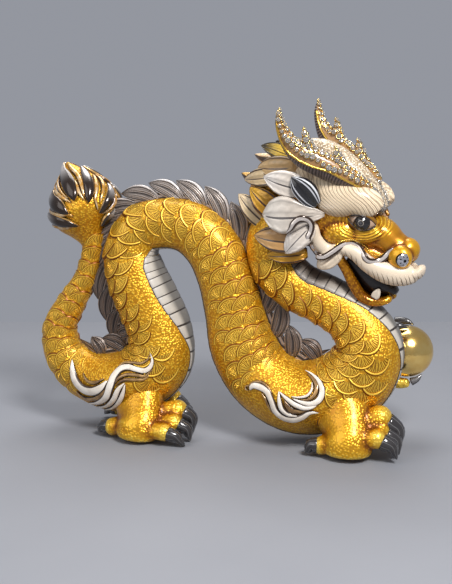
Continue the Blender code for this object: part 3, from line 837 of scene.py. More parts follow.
bud = belongs(shaped("tuft_bud", 96, 120, bud_form), pebbled)
sides_of_bud = [(place, surface(bud, place)) for place in (NEAR, MIRROR)]
petal_routes = picked(sides_of_bud[0][1], PETALS, TUFT_PART, wider=0.2)
strand_routes = picked(sides_of_bud[0][1], STRANDS, TUFT_PART, wider=0.13)
petals = [laid_form(skin, route, 2.6, place, 1.5) for place, skin in sides_of_bud for route in petal_routes]
strands = [laid_form(skin, route, 1.7, place, 0.9) for place, skin in sides_of_bud for route in strand_routes]
belongs(shaped("tuft_petals", 20, 32, petals), petal_glaze())
belongs(shaped("tuft_strands", 12, 26, strands), strand_glaze())

# The flames: curling white locks with brown and gold ones beside them, laid on the four haunches in the clay
# and glazed between dark lines. The far pair follows its own haunches.
FAR_HIND = Matrix.Translation((-12, 0, 0)) @ MIRROR
FAR_FORE = Matrix.Translation((8, 0, 3)) @ MIRROR
HIND_PART = ((30, 330), 8.041)
FORE_PART = ((235, 300), 7.649)
# Each lock from end to end, listed as the petals are
HIND_WHITE = [
    [(341, 236, 2), (348, 320, 22), (372, 400, 34), (430, 465, 38), (510, 488, 34), (580, 460, 26),
     (630, 408, 6)],
    [(472, 578, 3), (560, 572, 20), (625, 520, 28), (655, 440, 30), (690, 365, 30), (740, 315, 27),
     (800, 302, 23), (860, 318, 20), (930, 325, 20), (978, 280, 15), (986, 232, 8), (968, 180, 1)],
    [(540, 605, 3), (620, 598, 17), (682, 540, 22), (718, 470, 18), (765, 425, 3)],
    [(598, 628, 3), (670, 612, 14), (722, 560, 20), (750, 500, 16), (768, 435, 3)],
]
HIND_BROWN = [
    [(372, 480, 4), (430, 534, 16), (510, 548, 18), (575, 519, 16), (618, 470, 5)],
    [(430, 345, 3), (462, 405, 11), (530, 424, 14), (605, 392, 4)],
    [(690, 330, 3), (750, 274, 10), (830, 266, 11), (900, 268, 10), (950, 236, 8), (968, 190, 2)],
    [(675, 450, 3), (715, 392, 12), (775, 362, 13), (850, 362, 13), (925, 368, 12), (985, 312, 4)],
    [(690, 452, 3), (745, 408, 11), (850, 398, 12), (915, 394, 10), (962, 360, 3)],
]
FORE_WHITE = [
    [(118, 690, 6), (140, 655, 20), (200, 665, 24), (245, 695, 22), (283, 765, 21), (315, 840, 25),
     (372, 888, 28), (445, 905, 27), (515, 888, 22), (575, 855, 14), (646, 857, 2)],
    [(338, 700, 2), (345, 770, 15), (365, 830, 18), (415, 868, 14), (480, 880, 5)],
    [(338, 700, 2), (400, 755, 14), (470, 800, 18), (545, 822, 16), (600, 812, 10), (640, 780, 2)],
    [(535, 543, 1), (605, 585, 9), (650, 635, 15), (668, 700, 20), (645, 760, 22), (590, 789, 19),
     (520, 783, 14), (440, 754, 2)],
    [(592, 632, 2), (590, 690, 8), (560, 730, 9), (490, 747, 7), (430, 740, 2)],
]
FORE_BROWN = [
    [(95, 668, 3), (140, 630, 8), (205, 629, 10), (250, 663, 9), (290, 720, 4)],
    [(108, 690, 3), (88, 675, 6), (92, 655, 6), (110, 655, 3)],
    [(378, 760, 2), (400, 805, 16), (430, 838, 22), (490, 849, 16), (550, 842, 3)],
    [(552, 565, 3), (602, 612, 13), (626, 662, 15), (612, 722, 14), (565, 760, 10), (500, 764, 2)],
    [(205, 705, 3), (240, 760, 9), (270, 820, 9), (300, 868, 4)],
]


def flame_glaze(name, pale, dark, line, metallic):
    """Glaze for a lock: two clouded tones between dark lines along its edges."""
    paint = Paint(name, roughness=0.26, metallic=metallic, coat=0.4, Coat_Roughness=0.12)
    u, v = paint.chart()
    off = u.swing("SINE")
    colour = paint.mix(paint.band(paint.noise(130, 3), 0.35, 0.70), pale, dark)
    return paint.finish(paint.mix(paint.band(off, 0.70, 0.80), colour, line))


body_sides = [(place, surface(body, place)) for place in (NEAR, FAR_HIND, FAR_FORE)]


def flames_on_haunches(hind, fore, wider, thick, lift):
    """The locks of the near side and of both far haunches, laid on the body."""
    hind = picked(body_sides[0][1], hind, HIND_PART, wider)
    fore = picked(body_sides[0][1], fore, FORE_PART, wider)
    laid = []
    for place, skin in body_sides:
        routes = (hind if place is not FAR_FORE else []) + (fore if place is not FAR_HIND else [])
        laid += [laid_form(skin, route, thick, place, lift) for route in routes]
    return laid


white_glaze = flame_glaze(
    "flame white glaze", (0.80, 0.73, 0.64), (0.66, 0.57, 0.47), line=(0.045, 0.026, 0.018), metallic=0.0
)
brown_glaze = flame_glaze(
    "flame brown glaze", (0.46, 0.27, 0.10), (0.13, 0.065, 0.030), line=(0.030, 0.016, 0.011), metallic=0.5
)
white_locks = flames_on_haunches(HIND_WHITE, FORE_WHITE, 0.06, thick=1.5, lift=0.9)
brown_locks = flames_on_haunches(HIND_BROWN, FORE_BROWN, 0.02, thick=1.1, lift=0.6)
belongs(shaped("flame_locks", 16, 40, white_locks), white_glaze)
belongs(shaped("flame_insets", 12, 30, brown_locks), brown_glaze)

# The legs and feet: short thick legs that grow out of the haunches, with knuckled toes in pebbled gold,
# melted together in the clay, and glossy gunmetal claws set in the toes.
LIMB_GRAIN = 0.9
# Each leg: stations from the haunch to the sole, the x of its front, and for each toe its root, knuckle and
# girth, with the bend and the tip of its claw
HIND_LEG = dict(
    leg=[
        (-66, -2, 46, 8, 9), (-62, -6, 37, 12, 15), (-58.5, -10.8, 29, 12.6, 17.5),
        (-55, -15.5, 21.5, 12.4, 16.5),
        (-52.5, -20, 15, 12.6, 15), (-51.5, -23.7, 10.5, 12.8, 14.5), (-52.5, -25.3, 7, 12.6, 15),
        (-52.8, -25.6, 3.2, 11.8, 14), (-53, -25.6, 0, 8.5, 10.5),
    ],
    front=-44,
    toes=[
        ((-45, -17, 14), (-29.5, -13, 19.5), 6.6, (-21, -11.5, 15), (-20, -11, 2.5)),
        ((-45, -22, 9), (-29.5, -21, 13), 5.8, (-21, -20.5, 9.5), (-18.5, -20, 1.2)),
        ((-46, -28, 7), (-33, -31, 9), 5.6, (-25.5, -31.5, 7.5), (-19, -30, 0.6)),
        ((-58, -24, 7.5), (-71.5, -22, 7.4), 5.9, (-78.5, -21, 7), (-83, -20, 2.2)),
    ],
)
FORE_LEG = dict(
    leg=[
        (66, -2, 48, 8, 9), (70, -7, 39, 13, 16), (76, -11.8, 31, 13.6, 18), (81, -16, 23, 13.6, 17.5),
        (84, -20.8, 16, 13.4, 15.5), (85, -24.3, 11.5, 13.4, 15), (84.5, -25.5, 7.5, 13.2, 15.5),
        (84.5, -25.8, 3.5, 12.2, 14.5), (84.5, -25.8, 0.2, 9, 11),
    ],
    front=92,
    toes=[
        ((91, -19, 19), (103, -17, 25.5), 7.4, (113, -15.5, 18.5), (115, -15, 5)),
        ((91, -23, 13), (104, -22, 18), 5.8, (113, -21.5, 13.5), (115.5, -21, 3.5)),
        ((90, -26, 11), (102.5, -28, 15), 6.0, (111, -28.5, 11.5), (115, -28, 3)),
        ((78, -26, 9), (68.5, -26, 7.4), 5.8, (62, -26.5, 7.5), (58, -27, 1.4)),
    ],
)


def ball_form(centre, radii, place=None):
    """A ball squeezed to three radii."""

    def form(u, v):
        across, up = u * math.tau, v * math.pi
        points = np.stack([np.cos(across) * np.sin(up), np.sin(across) * np.sin(up), -np.cos(up)], axis=-1)
        return placed_by(place, np.array(centre) + points * np.array(radii))

    return form


def melted(name, parts, grain, rounds):
    """Joins closed forms into one skin by a voxel remesh of this grain in millimetres, then smooths it.

    A mark named hollow tells the materials where the skin is hollow, from nought on ridges to one in creases,
    where some of them paint shade.
    """
    piece = shaped(name, 28, 20, parts)
    bpy.context.view_layer.objects.active = piece
    remesh = piece.modifiers.new("melt", "REMESH")
    remesh.mode = "VOXEL"
    remesh.voxel_size = grain * MM
    soften = piece.modifiers.new("soften", "SMOOTH")
    soften.factor = 0.5
    soften.iterations = rounds
    for modifier in (remesh, soften):
        bpy.ops.object.modifier_apply(modifier=modifier.name)
    mark_hollows(piece)
    piece.data.shade_smooth()
    return piece


def mark_hollows(piece, spread=6):
    """Stores how hollow the skin is at each point, from the neighbours' height above it."""
    points, normals = (read_rows(piece.data.vertices, what, 3) for what in ("co", "normal"))
    a, b = read_rows(piece.data.edges, "vertices", 2, int).T
    count = len(points)
    near = np.bincount(a, minlength=count) + np.bincount(b, minlength=count)
    soft = points.copy()
    for _ in range(spread):
        total = np.stack([
            np.bincount(a, soft[b, k], count) + np.bincount(b, soft[a, k], count) for k in range(3)
        ], axis=1)
        soft = total / np.maximum(near, 1)[:, None]
    mark(piece, "hollow", np.clip(0.5 + np.einsum("ij,ij->i", soft - points, normals) / MM * 1.6, 0, 1))


def foot_parts(leg, toes, place):
    """A leg down to its sole, and its knuckled toes."""
    parts = [tube_form(leg, across=(0, 1, 0.05), place=place)]
    for root, knuckle, girth, _, _ in toes:
        root, knuckle = np.array(root, float), np.array(knuckle, float)
        middle = root * 0.45 + knuckle * 0.55 + (0, 0, 1.0)
        sizes = ((root, 1.1), (middle, 1.0), (knuckle, 1.04))
        parts.append(tube_form([(*point, girth * size, girth * size) for point, size in sizes], place=place))
        parts += [ball_form(point, (girth * size,) * 3, place) for point, size in sizes[1:]]
    return parts


def claw_parts(toes, place):
    """The claws of a foot: curved spikes with a flat inner side."""
    parts = []
    for _, knuckle, girth, bend, tip in toes:
        knuckle, bend, tip = (np.array(point, float) for point in (knuckle, bend, tip))
        start = knuckle * 0.72 + bend * 0.28
        stations = [
            (*start, girth * 0.86, girth * 0.86), (*(start * 0.4 + bend * 0.6), girth * 0.84, girth * 0.82),
            (*bend, girth * 0.72, girth * 0.70), (*(bend * 0.45 + tip * 0.55), girth * 0.46, girth * 0.44),
            (*tip, 0.25, 0.25),
        ]
        parts.append(tube_form(stations, place=place))
    return parts


def toned_gold(name, pebble, depth, lift=0.0, roughness=0.34):
    """Amber glaze over soft pebbles, with painted shade darkening the creases of the clay, and smooth on the
    shank.
    """
    paint = Paint(name, roughness=roughness, metallic=0.6, coat=0.2, Coat_Roughness=0.2)
    shank = paint.read("shank")
    pebbles = paint.pebbles(pebble) * (1 - shank * 0.6)
    # Painted shade: the glaze darkens where the skin is hollow, in the creases between legs, toes and
    # haunches.
    hollow = paint.read("hollow") - 0.5
    height = 0.29 + lift - hollow * 1.5 + pebbles * 0.34 + shank * 0.16 + paint.noise(45, 2) * 0.3
    return paint.finish(gold_ramp(paint, height), pebbles, depth)


def claw_glaze():
    """Glossy gunmetal, paler along the ridge and towards the root."""
    paint = Paint("claw glaze", roughness=0.2, metallic=0.3, coat=0.5, Coat_Roughness=0.08)
    u, v = paint.chart()
    ridge = paint.band(u.gap(0.5), 0.30, 0.48) * paint.band(v, 0.05, 0.25) * 0.55
    colour = paint.mix(ridge, (0.040, 0.036, 0.036), (0.30, 0.29, 0.29))
    lines = paint.band((u * 9).fold(), 0.43, 0.49) * 0.4
    return paint.finish(paint.mix(lines, colour, (0.45, 0.44, 0.43)))


foot_gold = toned_gold("foot amber glaze", 620, 0.0003, lift=-0.22)
claws = []
for name, leg, place in (
    ("near_hind", HIND_LEG, NEAR), ("far_hind", HIND_LEG, FAR_HIND), ("near_fore", FORE_LEG, NEAR),
):
    foot = melted(f"{name}_foot", foot_parts(leg["leg"], leg["toes"], place), LIMB_GRAIN, 24)
    x, _, z = points_of(foot, place).T
    high = np.clip((z - 9) / 6, 0, 1) * np.clip((34 - z) / 8, 0, 1)
    mark(foot, "shank", high * np.clip((leg["front"] - x) / 10, 0, 1))
    belongs(foot, foot_gold)
    claws += claw_parts(leg["toes"], place)
belongs(shaped("claws", 20, 16, claws), claw_glaze())

# The ball and the raised forepaw: the far foreleg reaches forward, and its toes close round a ball of
# fired gold lustre, which is a piece of its own.
BALL_RADIUS = 17.0
PAW_GAP = 0.6
# Each toe: the direction in which it leaves the wrist, the degrees it reaches round the ball, and the step of
# its nine at which the claw starts
PAW_TOES = ((-0.42, 1, 104, 5), (0.35, 1, 110, 5), (-0.3, -1, 118, 6), (0.9, 0.1, 114, 5))
paw_gold = toned_gold("paw amber glaze", 480, 0.0003, lift=0.05)


def paw_parts():
    """The raised leg and the gold toes, and the dark claws at their ends."""
    wrist = BALL_DRAWN + (-BALL_RADIUS - 4.5, 2, -4)
    inward = unit(wrist - BALL_DRAWN)
    skin = [
        tube_form([(72, 13, 44, 17, 17), (80, 18, 45, 14, 14), (90, 25, 45, 11, 11), (*wrist, 9, 9)]),
        ball_form(wrist + inward * 4, (7.5, 9, 9.5)),
    ]
    nails = []
    for sideways, upwards, end, join in PAW_TOES:
        heading = np.array([0.1, sideways, upwards])
        over = unit(heading - inward * np.dot(heading, inward))
        rows = []
        for share in np.linspace(0, 1, 9):
            angle = math.radians(8 + (end - 8) * share)
            girth = np.interp(share, (0, 0.5, 0.62, 0.85, 1), (4.6, 4.1, 3.6, 2.2, 0.2))
            arm = inward * math.cos(angle) + over * math.sin(angle)
            point = BALL_DRAWN + arm * (BALL_RADIUS + PAW_GAP + girth)
            rows.append((*point, girth, girth))
        skin.append(tube_form(rows[:join + 1], across=np.cross(inward, over)))
        nails.append(tube_form(rows[join:], across=np.cross(inward, over)))
    return skin, nails


paw_skin, paw_nails = paw_parts()
belongs(melted("raised_paw", paw_skin, LIMB_GRAIN, 4), paw_gold)
belongs(shaped("raised_claws", 16, 16, paw_nails), claw_glaze())


def lustre():
    """Mirror gold, a little clouded by the firing."""
    paint = Paint("gold lustre", roughness=0.16, metallic=1.0)
    clouds = paint.noise(45, 4, rough=0.6)
    tones = (0.3, (0.80, 0.46, 0.10)), (0.55, (1.0, 0.70, 0.24)), (0.8, (1.0, 0.86, 0.46))
    shine = paint.band(clouds, 0.3, 0.7, inside=0.10, outside=0.24)
    return paint.finish(paint.ramp(clouds, *tones), paint.noise(120, 2), 0.0002, Roughness=shine)


ball = shaped("ball", 64, 40, ball_form(BALL_DRAWN, (BALL_RADIUS,) * 3))
belongs(ball, lustre(), node="pearl")

# The face: skull, cheeks, snout and nostrils are one soft form in the casting, under the amber glaze, with
# wrinkles in rings round the eye and pebbles on the cheek. The head is turned a little towards the viewer.
HEAD_PIVOT = Vector((60, 0, 140))
HEAD = (
    Matrix.Translation(HEAD_PIVOT) @ Matrix.Rotation(math.radians(-12), 4, "Z")
    @ Matrix.Rotation(math.radians(7), 4, "X") @ Matrix.Translation(-HEAD_PIVOT)
)
SIDES = (HEAD, HEAD @ MIRROR)
HEAD_GRAIN = 0.75
EYE = np.array([93.6, -13.8, 148.3])


def both(make, *points, **values):
    """A form of the near side of the head and its mirror image."""
    return [make(*points, place=side, **values) for side in SIDES]


def pressed(skins, route, lift=0.0, steps=60):
    """A route in x, depth and z read at even steps and pressed on the skins from the near side."""
    route = np.array(smooth(route, steps))
    for row in route:
        hits = [skin.ray_cast(Vector((row[0], -90, row[2])), Vector((0, 1, 0)))[0] for skin in skins]
        depths = [hit.y for hit in hits if hit is not None]
        if depths:
            row[1] = max(min(depths), row[1] - 4)
    route[:, 1] = evened(route[:, 1]) - lift
    return route


SKULL = [
    (34, 0, 153, 13, 16), (48, 0, 156, 18, 23), (64, 0, 155, 20, 26), (82, 0, 149, 17, 20),
    (99, 0, 146, 11.5, 11),
]
SNOUT = [(90, 0, 140, 13.5, 12), (102, 0, 137.5, 11, 10.5), (109, 0, 132.5, 9, 8.5), (116, 0, 129, 7, 7)]
PALATE = [(74, 0, 131, 12.5, 6), (95, 0, 128, 11, 6), (110, 0, 121, 7.5, 6)]
face_parts = [
    tube_form(SKULL, place=HEAD),
    tube_form(SNOUT, place=HEAD),
    tube_form(PALATE, place=HEAD),
    ball_form((117, 0, 129.3), (7.8, 7.6, 7.4), HEAD),
    ball_form((38, 0, 162), (23, 18, 23), HEAD),
    *both(ball_form, (78.5, -12.2, 141), (11.5, 7.8, 8.5)),
    *both(ball_form, (92, -9.5, 141), (12, 6, 7.5)),
    *both(ball_form, (114.7, -7.4, 126.0), (7.6, 5.6, 7.4)),
]
face = melted("face", face_parts, HEAD_GRAIN, 5)
face_points = points_of(face, HEAD)
from_eye = (np.abs(face_points) - (EYE[0], -EYE[1], EYE[2])) * (0.82, 0.6, 1.15)
mark(face, "ring", np.linalg.norm(from_eye, axis=1))
mark(face, "along", face_points[:, 0])


def face_glaze():
    """Amber glaze, brown in the wrinkles round the eye, with painted shade in the creases of the skin,
    pebbled on the cheek and smooth on the nose.
    """
    paint = Paint("face amber glaze", roughness=0.30, metallic=0.55, coat=0.25, Coat_Roughness=0.1)
    ring, along, hollow = paint.read("ring"), paint.read("along"), paint.read("hollow")
    wrinkled = paint.band(ring, 17.0, 13.0) * paint.band(ring, 4.5, 5.5)
    wrinkle = ((ring + paint.noise(130, 2) * 1.6) * (math.tau / 1.9)).math("SINE") * 0.5 + 0.5
    cheek = paint.band(along, 86, 78)
    smooth_nose = paint.band(along, 100, 107)
    pebbles = paint.pebbles(620)
    relief = wrinkle * wrinkled * (1 - cheek * 0.6) + pebbles * (1 - smooth_nose) * (0.25 + cheek * 0.75)
    # Painted shade: the colour darkens where the skin is hollow.
    height = 0.66 - hollow * 1.3 + relief * 0.42 + smooth_nose * 0.08 + paint.noise(60, 3) * 0.26
    return paint.finish(gold_ramp(paint, height), relief, 0.0005)


belongs(face, face_glaze())

# The brow and crown: a heavy cream-glazed mass over the eyes, combed in fine strands that sweep down and
# forward, with brown rubbed into the lines.
BROW = [
    (67, -17.5, 162.5, 4, 8), (79, -16.5, 161.5, 6.5, 10.5), (90, -13.5, 161, 8.2, 9.6),
    (97.5, -10.5, 156.5, 7.8, 9.6),
    (101, -9, 152, 5.6, 6.6),
]
CROWN = [
    (100.5, 0, 150, 5, 5.5), (98.5, 0, 156, 6.4, 6.4), (96, 0, 161, 7.4, 6.8), (91.5, 0, 167.5, 8, 7),
    (83, 0, 176, 8.5, 8), (64, 0, 189, 7, 7), (50, 0, 192, 3, 4),
]
brow_parts = [
    tube_form(CROWN, place=HEAD),
    *both(tube_form, BROW),
    *both(ball_form, (70, -11, 168), (17, 9.5, 10)),
    *both(ball_form, (57, -13, 173), (10, 8, 9)),
]
brow = melted("brow", brow_parts, HEAD_GRAIN, 3)
x, side, z = points_of(brow, HEAD).T
mark(brow, "strand", (x + 0.62 * z + 2.2 * np.sin(z * 0.22 - x * 0.05)) / 2.4)
mark(brow, "crown", np.clip((z - 0.45 * (100 - x) - 165) / 3 - (np.abs(side) - 9) / 2, 0, 1))


def brow_glaze():
    """Cream glaze with brown lines between the strands, and glitter on the crown."""
    paint = Paint("brow glaze", roughness=0.40, coat=0.25, Coat_Roughness=0.2)
    strand = paint.read("strand") + paint.noise(110, 2) * 0.8 + paint.noise(35, 1) * 1.6
    crown = paint.read("crown")
    coarse = paint.band(strand.fold(), 0.30, 0.5)
    fine = paint.band((strand * 2.37).fold(), 0.25, 0.5)
    lines = (coarse * 0.72).math("MAXIMUM", fine * 0.4) * (1 - crown * 0.85)
    colour = paint.mix(paint.noise(60, 3), (0.88, 0.72, 0.50), (0.72, 0.55, 0.36))
    colour = paint.mix(lines, colour, (0.24, 0.14, 0.075))
    colour = paint.mix(crown * 0.8, colour, (0.50, 0.39, 0.25))
    flecks = paint.pebbles(900, 0.0)
    colour = paint.mix(paint.band(flecks, 0.35, 0.15) * crown * 0.7, colour, (0.14, 0.09, 0.05))
    colour = paint.mix(paint.band(flecks, 0.70, 0.90) * crown, colour, (0.95, 0.92, 0.84))
    return paint.finish(colour, lines * -1.0, 0.0006)


belongs(brow, brow_glaze())


# The eyes: almonds of glossy beige in the clay, each with a domed black iris, a heavy gold-brown lid over it
# and fine dark lines along its upper and lower edges.
def plain(name, colour, roughness, metallic=0.0, coat=0.0, cloud=0.25, scale=150):
    """One glaze with slight clouds of a darker tone."""
    paint = Paint(name, roughness=roughness, metallic=metallic, coat=coat, Coat_Roughness=0.05)
    darker = tuple(channel * (1 - cloud) for channel in colour)
    return paint.finish(paint.mix(paint.noise(scale, 3), colour, darker))


def iris_glaze():
    """Black, with a fine pale ring near its edge, and a painted highlight lighter in its middle."""
    paint = Paint("iris glaze", roughness=0.12, coat=0.4, Coat_Roughness=0.03)
    u, v = paint.chart()
    ring = paint.band(v.gap(0.28), 0.035, 0.015)
    # Painted highlight: the middle of the dome a little lighter.
    centre_highlight = paint.mix(paint.band(v, 0.20, 0.02), (0.012, 0.010, 0.010), (0.06, 0.055, 0.06))
    return paint.finish(paint.mix(ring, centre_highlight, (0.30, 0.26, 0.22)))


ALMOND = [
    (85.6, -14.8, 151.2, 0.3, 0.3), (89.5, -15.2, 150, 2.2, 3.6), (93.8, -15.0, 148.5, 3.0, 4.8),
    (98, -13.8, 147.2, 2.4, 3.8),
    (101.6, -11.6, 146.2, 0.3, 0.3),
]
eyes = shaped("eyes", 24, 20, both(tube_form, ALMOND))
belongs(eyes, plain("eye glaze", (0.50, 0.33, 0.22), 0.12, coat=1.0))


def facing(out, up):
    """A direction, and two that cross it and each other."""
    out = unit(out)
    first = unit(np.cross(out, up))
    return out, first, np.cross(first, out)


def disc_form(centre, out, radius, depth, place):
    """A low dome about a centre that faces a direction; v runs from its middle to its edge."""
    out, first, second = facing(out, (0, 0, 1))

    def form(u, v):
        turn, away = u * math.tau, np.clip(v / 0.9, 0, 1)
        height = depth * np.cos(away * math.pi / 2) - np.clip(v - 0.9, 0, 1) * 10 * depth
        ring = np.outer(np.cos(turn) * away, first) + np.outer(np.sin(turn) * away, second)
        return placed_by(place, np.array(centre) + ring * radius + np.outer(height, out))

    return form


EYE_OUT = (0.14, -1, 0.05)
IRIS_SUNK = 1.5
seen, _, _, _ = surface(eyes, HEAD).ray_cast(Vector((94.2, -60, 148.2)), Vector((0, 1, 0)))
irises = both(disc_form, seen + Vector((0, IRIS_SUNK, 0)), EYE_OUT, 5.2, 3.3)
belongs(shaped("irises", 32, 10, irises), iris_glaze())
LID = [
    (83.5, -15.3, 150.6, 0.9, 0.8), (87.5, -16.4, 153.6, 1.9, 1.5), (92.5, -16.2, 154.6, 2.2, 1.7),
    (97.5, -14.8, 152.4, 2.0, 1.5), (102, -11.8, 147.0, 1.1, 1.0),
]
UPPER_LINE = [
    (84.8, -15.6, 151.2, 0.4, 0.4), (88.5, -17.6, 152.6, 0.5, 0.6), (93.0, -18.0, 153.0, 0.5, 0.6),
    (97.8, -16.2, 150.8, 0.5, 0.6), (102, -12.2, 146.4, 0.4, 0.4),
]
LOWER_LINE = [
    (84.8, -15.6, 151.0, 0.4, 0.4), (89, -17.2, 146.4, 0.5, 0.5), (94, -16.8, 143.8, 0.5, 0.5),
    (98.5, -14.6, 143.9, 0.5, 0.5), (102, -12.2, 146.2, 0.4, 0.4),
]
lid_glaze = plain("eyelid glaze", (0.42, 0.19, 0.015), 0.25, metallic=0.4, coat=0.4, cloud=0.5, scale=300)
liner_glaze = plain("liner glaze", (0.035, 0.020, 0.014), 0.2, coat=0.5)
belongs(shaped("eyelids", 12, 36, both(tube_form, LID)), lid_glaze)
liners = both(tube_form, UPPER_LINE) + both(tube_form, LOWER_LINE)
belongs(shaped("eye_lines", 10, 36, liners), liner_glaze)

# The upper lip: a thick cream-glazed band of the casting that curls up at the front and behind the cheek,
# with short brown strokes cut along its lower edge.
LIP = [
    (74, -16.5, 131, 3, 3), (80, -16, 131.8, 3, 3.2), (87.5, -14.8, 129.5, 3.5, 4.4),
    (98, -12.3, 120.8, 4.5, 5.4),
    (108, -9.3, 116, 5, 6.8), (117, -5, 114.5, 5, 6.6), (122.5, 0, 116, 4, 6),
]
CURL = [
    (80, -15, 131.5, 2.5, 3), (71, -17.5, 131, 3, 4.2), (65.5, -19.5, 138, 3, 4.2), (63.5, -21, 146, 3, 4),
    (57, -22, 149, 3, 3),
]
lip_parts = both(tube_form, LIP)
lip_parts += [
    tube_form([(118, 0, 114, 7, 5), (124, 0, 116, 6.5, 4), (127, 0, 119.5, 4, 1.6)], place=HEAD),
    *both(leaf_form, (81, -15.5, 131.5), (65.5, -18.5, 118.8), 6.0, (0.5, 0.2, -0.6), 5.5),
    *both(tube_form, CURL),
]
lip = melted("upper_lip", lip_parts, HEAD_GRAIN, 3)
x, side, z = points_of(lip, HEAD).T
mark(lip, "stroke", (x + 0.28 * z - np.abs(side) * 0.3) / 2.7)
middle = np.interp(x, *np.array(LIP)[:, (0, 2)].T)
mark(lip, "reach", np.clip((x - 76) / 8, 0, 1) * np.clip((middle + 0.5 - z) / 3, 0, 1))


def lip_glaze():
    """Cream glaze, brown between the folds of the lip, with painted shade darkening its creases."""
    paint = Paint("lip glaze", roughness=0.38, coat=0.3, Coat_Roughness=0.15)
    stroke = paint.read("stroke") + paint.noise(160, 2) * 0.9
    hollow = paint.read("hollow")
    lines = paint.band(stroke.fold(), 0.34, 0.5) * paint.read("reach")
    lines = lines * paint.band(paint.noise(90, 1), 0.30, 0.55) * 0.8
    colour = paint.mix(paint.noise(70, 3), (0.76, 0.63, 0.47), (0.58, 0.47, 0.35))
    # Painted shade: dark brown where the skin is hollow.
    colour = paint.mix(paint.band(hollow, 0.55, 0.9) * 0.7, colour, (0.22, 0.14, 0.09))
    return paint.finish(paint.mix(lines, colour, (0.16, 0.095, 0.055)), lines * -1.0, 0.0006)


belongs(lip, lip_glaze())

# The lower jaw, the mouth and the teeth: a glossy gold rim round a black-glazed hollow with its tongue, and a
# pointed cream tooth on each side.
JAW = [
    (77, -13.5, 127, 3, 3.2), (82, -12, 118, 3.2, 3.2), (86.8, -10.8, 107.5, 3.4, 3.6),
    (91, -9.5, 100.5, 3.6, 3.6),
    (97.5, -8, 97.2, 3.4, 3.0), (104, -6, 97.5, 3.2, 2.6), (108.5, -2, 99.8, 2.6, 2.2),
]
jaw_parts = both(tube_form, JAW)
jaw_parts += [tube_form([(84, 0, 106, 9, 3.5), (95, 0, 97.5, 8, 3), (107, 0, 98.5, 4, 2.4)], place=HEAD)]
# The jaw's amber glaze is a much darker copy of the feet's: partly a browner glaze, partly painted shade
# under the lip.
jaw_gold = toned_gold("jaw amber glaze", 700, 0.00008, lift=-0.80, roughness=0.18)
belongs(melted("lower_jaw", jaw_parts, HEAD_GRAIN, 4), jaw_gold)
mouth_parts = [
    tube_form(route, place=HEAD) for route in (
        [(80, 0, 124, 9, 4), (90, 0, 114, 8.4, 8), (100, 0, 107, 7.6, 7.6), (108.5, 0, 104.5, 5.2, 3.6)],
        [(101, 0, 107, 6, 3), (108, 0, 103.5, 5.5, 3.4), (111, 0, 101.6, 3, 1.6)],
    )
]
mouth_glaze = plain("mouth glaze", (0.010, 0.006, 0.005), 0.35, coat=0.2)
belongs(melted("mouth", mouth_parts, LIMB_GRAIN, 3), mouth_glaze)
TOOTH_SPREAD = [(0, 0.8), (0.3, 1.0), (0.7, 0.7), (1, 0)]
teeth = both(leaf_form, (98.5, -9.0, 99.6), (102.4, -9.0, 106.2), 2.7, (1, 0, -0.4), 2.6, spread=TOOTH_SPREAD)
tooth_glaze = plain("tooth glaze", (0.66, 0.56, 0.44), 0.25, coat=0.5)
belongs(shaped("teeth", 16, 12, teeth), tooth_glaze)

# The nostrils: low domes with dark pits, in platinum lustre, set in the thick gold rings at the snout's end.
NOSTRIL_OUT = (0.62, -0.74, -0.12)
domes = both(disc_form, (118.1, -11.3, 125.3), NOSTRIL_OUT, 4.5, 2.0)


def nostril_glaze():
    """Platinum with dark pits and a dark edge."""
    paint = Paint("nostril platinum", roughness=0.16, metallic=0.9)
    u, v = paint.chart()
    pit = paint.band(v, 0.24, 0.16).math("MAXIMUM", paint.band(v, 0.80, 0.88))
    dots = paint.band((u * 7).fold(), 0.17, 0.10) * paint.band(v.gap(0.52), 0.12, 0.07)
    return paint.finish(paint.mix(pit.math("MAXIMUM", dots), (0.62, 0.62, 0.66), (0.02, 0.016, 0.015)))


belongs(shaped("nostrils", 32, 12, domes), nostril_glaze())

# The ears: leaves of the casting laid back over the mane, in glossy black with two fine silver lines along
# their rolled edges.
ears = both(leaf_form, (69.5, -23.4, 158.8), (54.8, -28.2, 176.8), 7.2, (0.8, 0, 0.55), 4.5, -0.06, 0.05)


def ear_glaze():
    """Glossy black with silver lines near the edge."""
    paint = Paint("ear glaze", roughness=0.14, coat=0.8, Coat_Roughness=0.05)
    u, v = paint.chart()
    off = u.swing("COSINE")
    lines = paint.band(off.gap(0.86), 0.075, 0.04)
    lines = lines.math("MAXIMUM", paint.band(off.gap(0.55), 0.085, 0.04))
    return paint.finish(paint.mix(lines, (0.010, 0.009, 0.010), (0.62, 0.62, 0.64)), off, 0.001)


belongs(shaped("ears", 40, 24, ears), ear_glaze())

# The mane: fat pointed leaves laid back from the cheeks and crown in overlapping rows, in white, beige, amber
# and black glazes with dark veins and outlines.
UPRIGHT = (0.1, 0.1, 1)
MANE_THICKNESS = 4.6
# Widths of a mane leaf at shares of its length: the common one, and the long one with a narrow root
MANE_SPREAD = ((0, 0.5), (0.12, 0.82), (0.32, 1.0), (0.55, 0.96), (0.75, 0.70), (0.9, 0.35), (1, 0))
WAVE_SPREAD = (
    (0, 0.10), (0.1, 0.28), (0.3, 0.56), (0.5, 0.88), (0.65, 1.0), (0.82, 0.80), (0.93, 0.40), (1, 0),
)
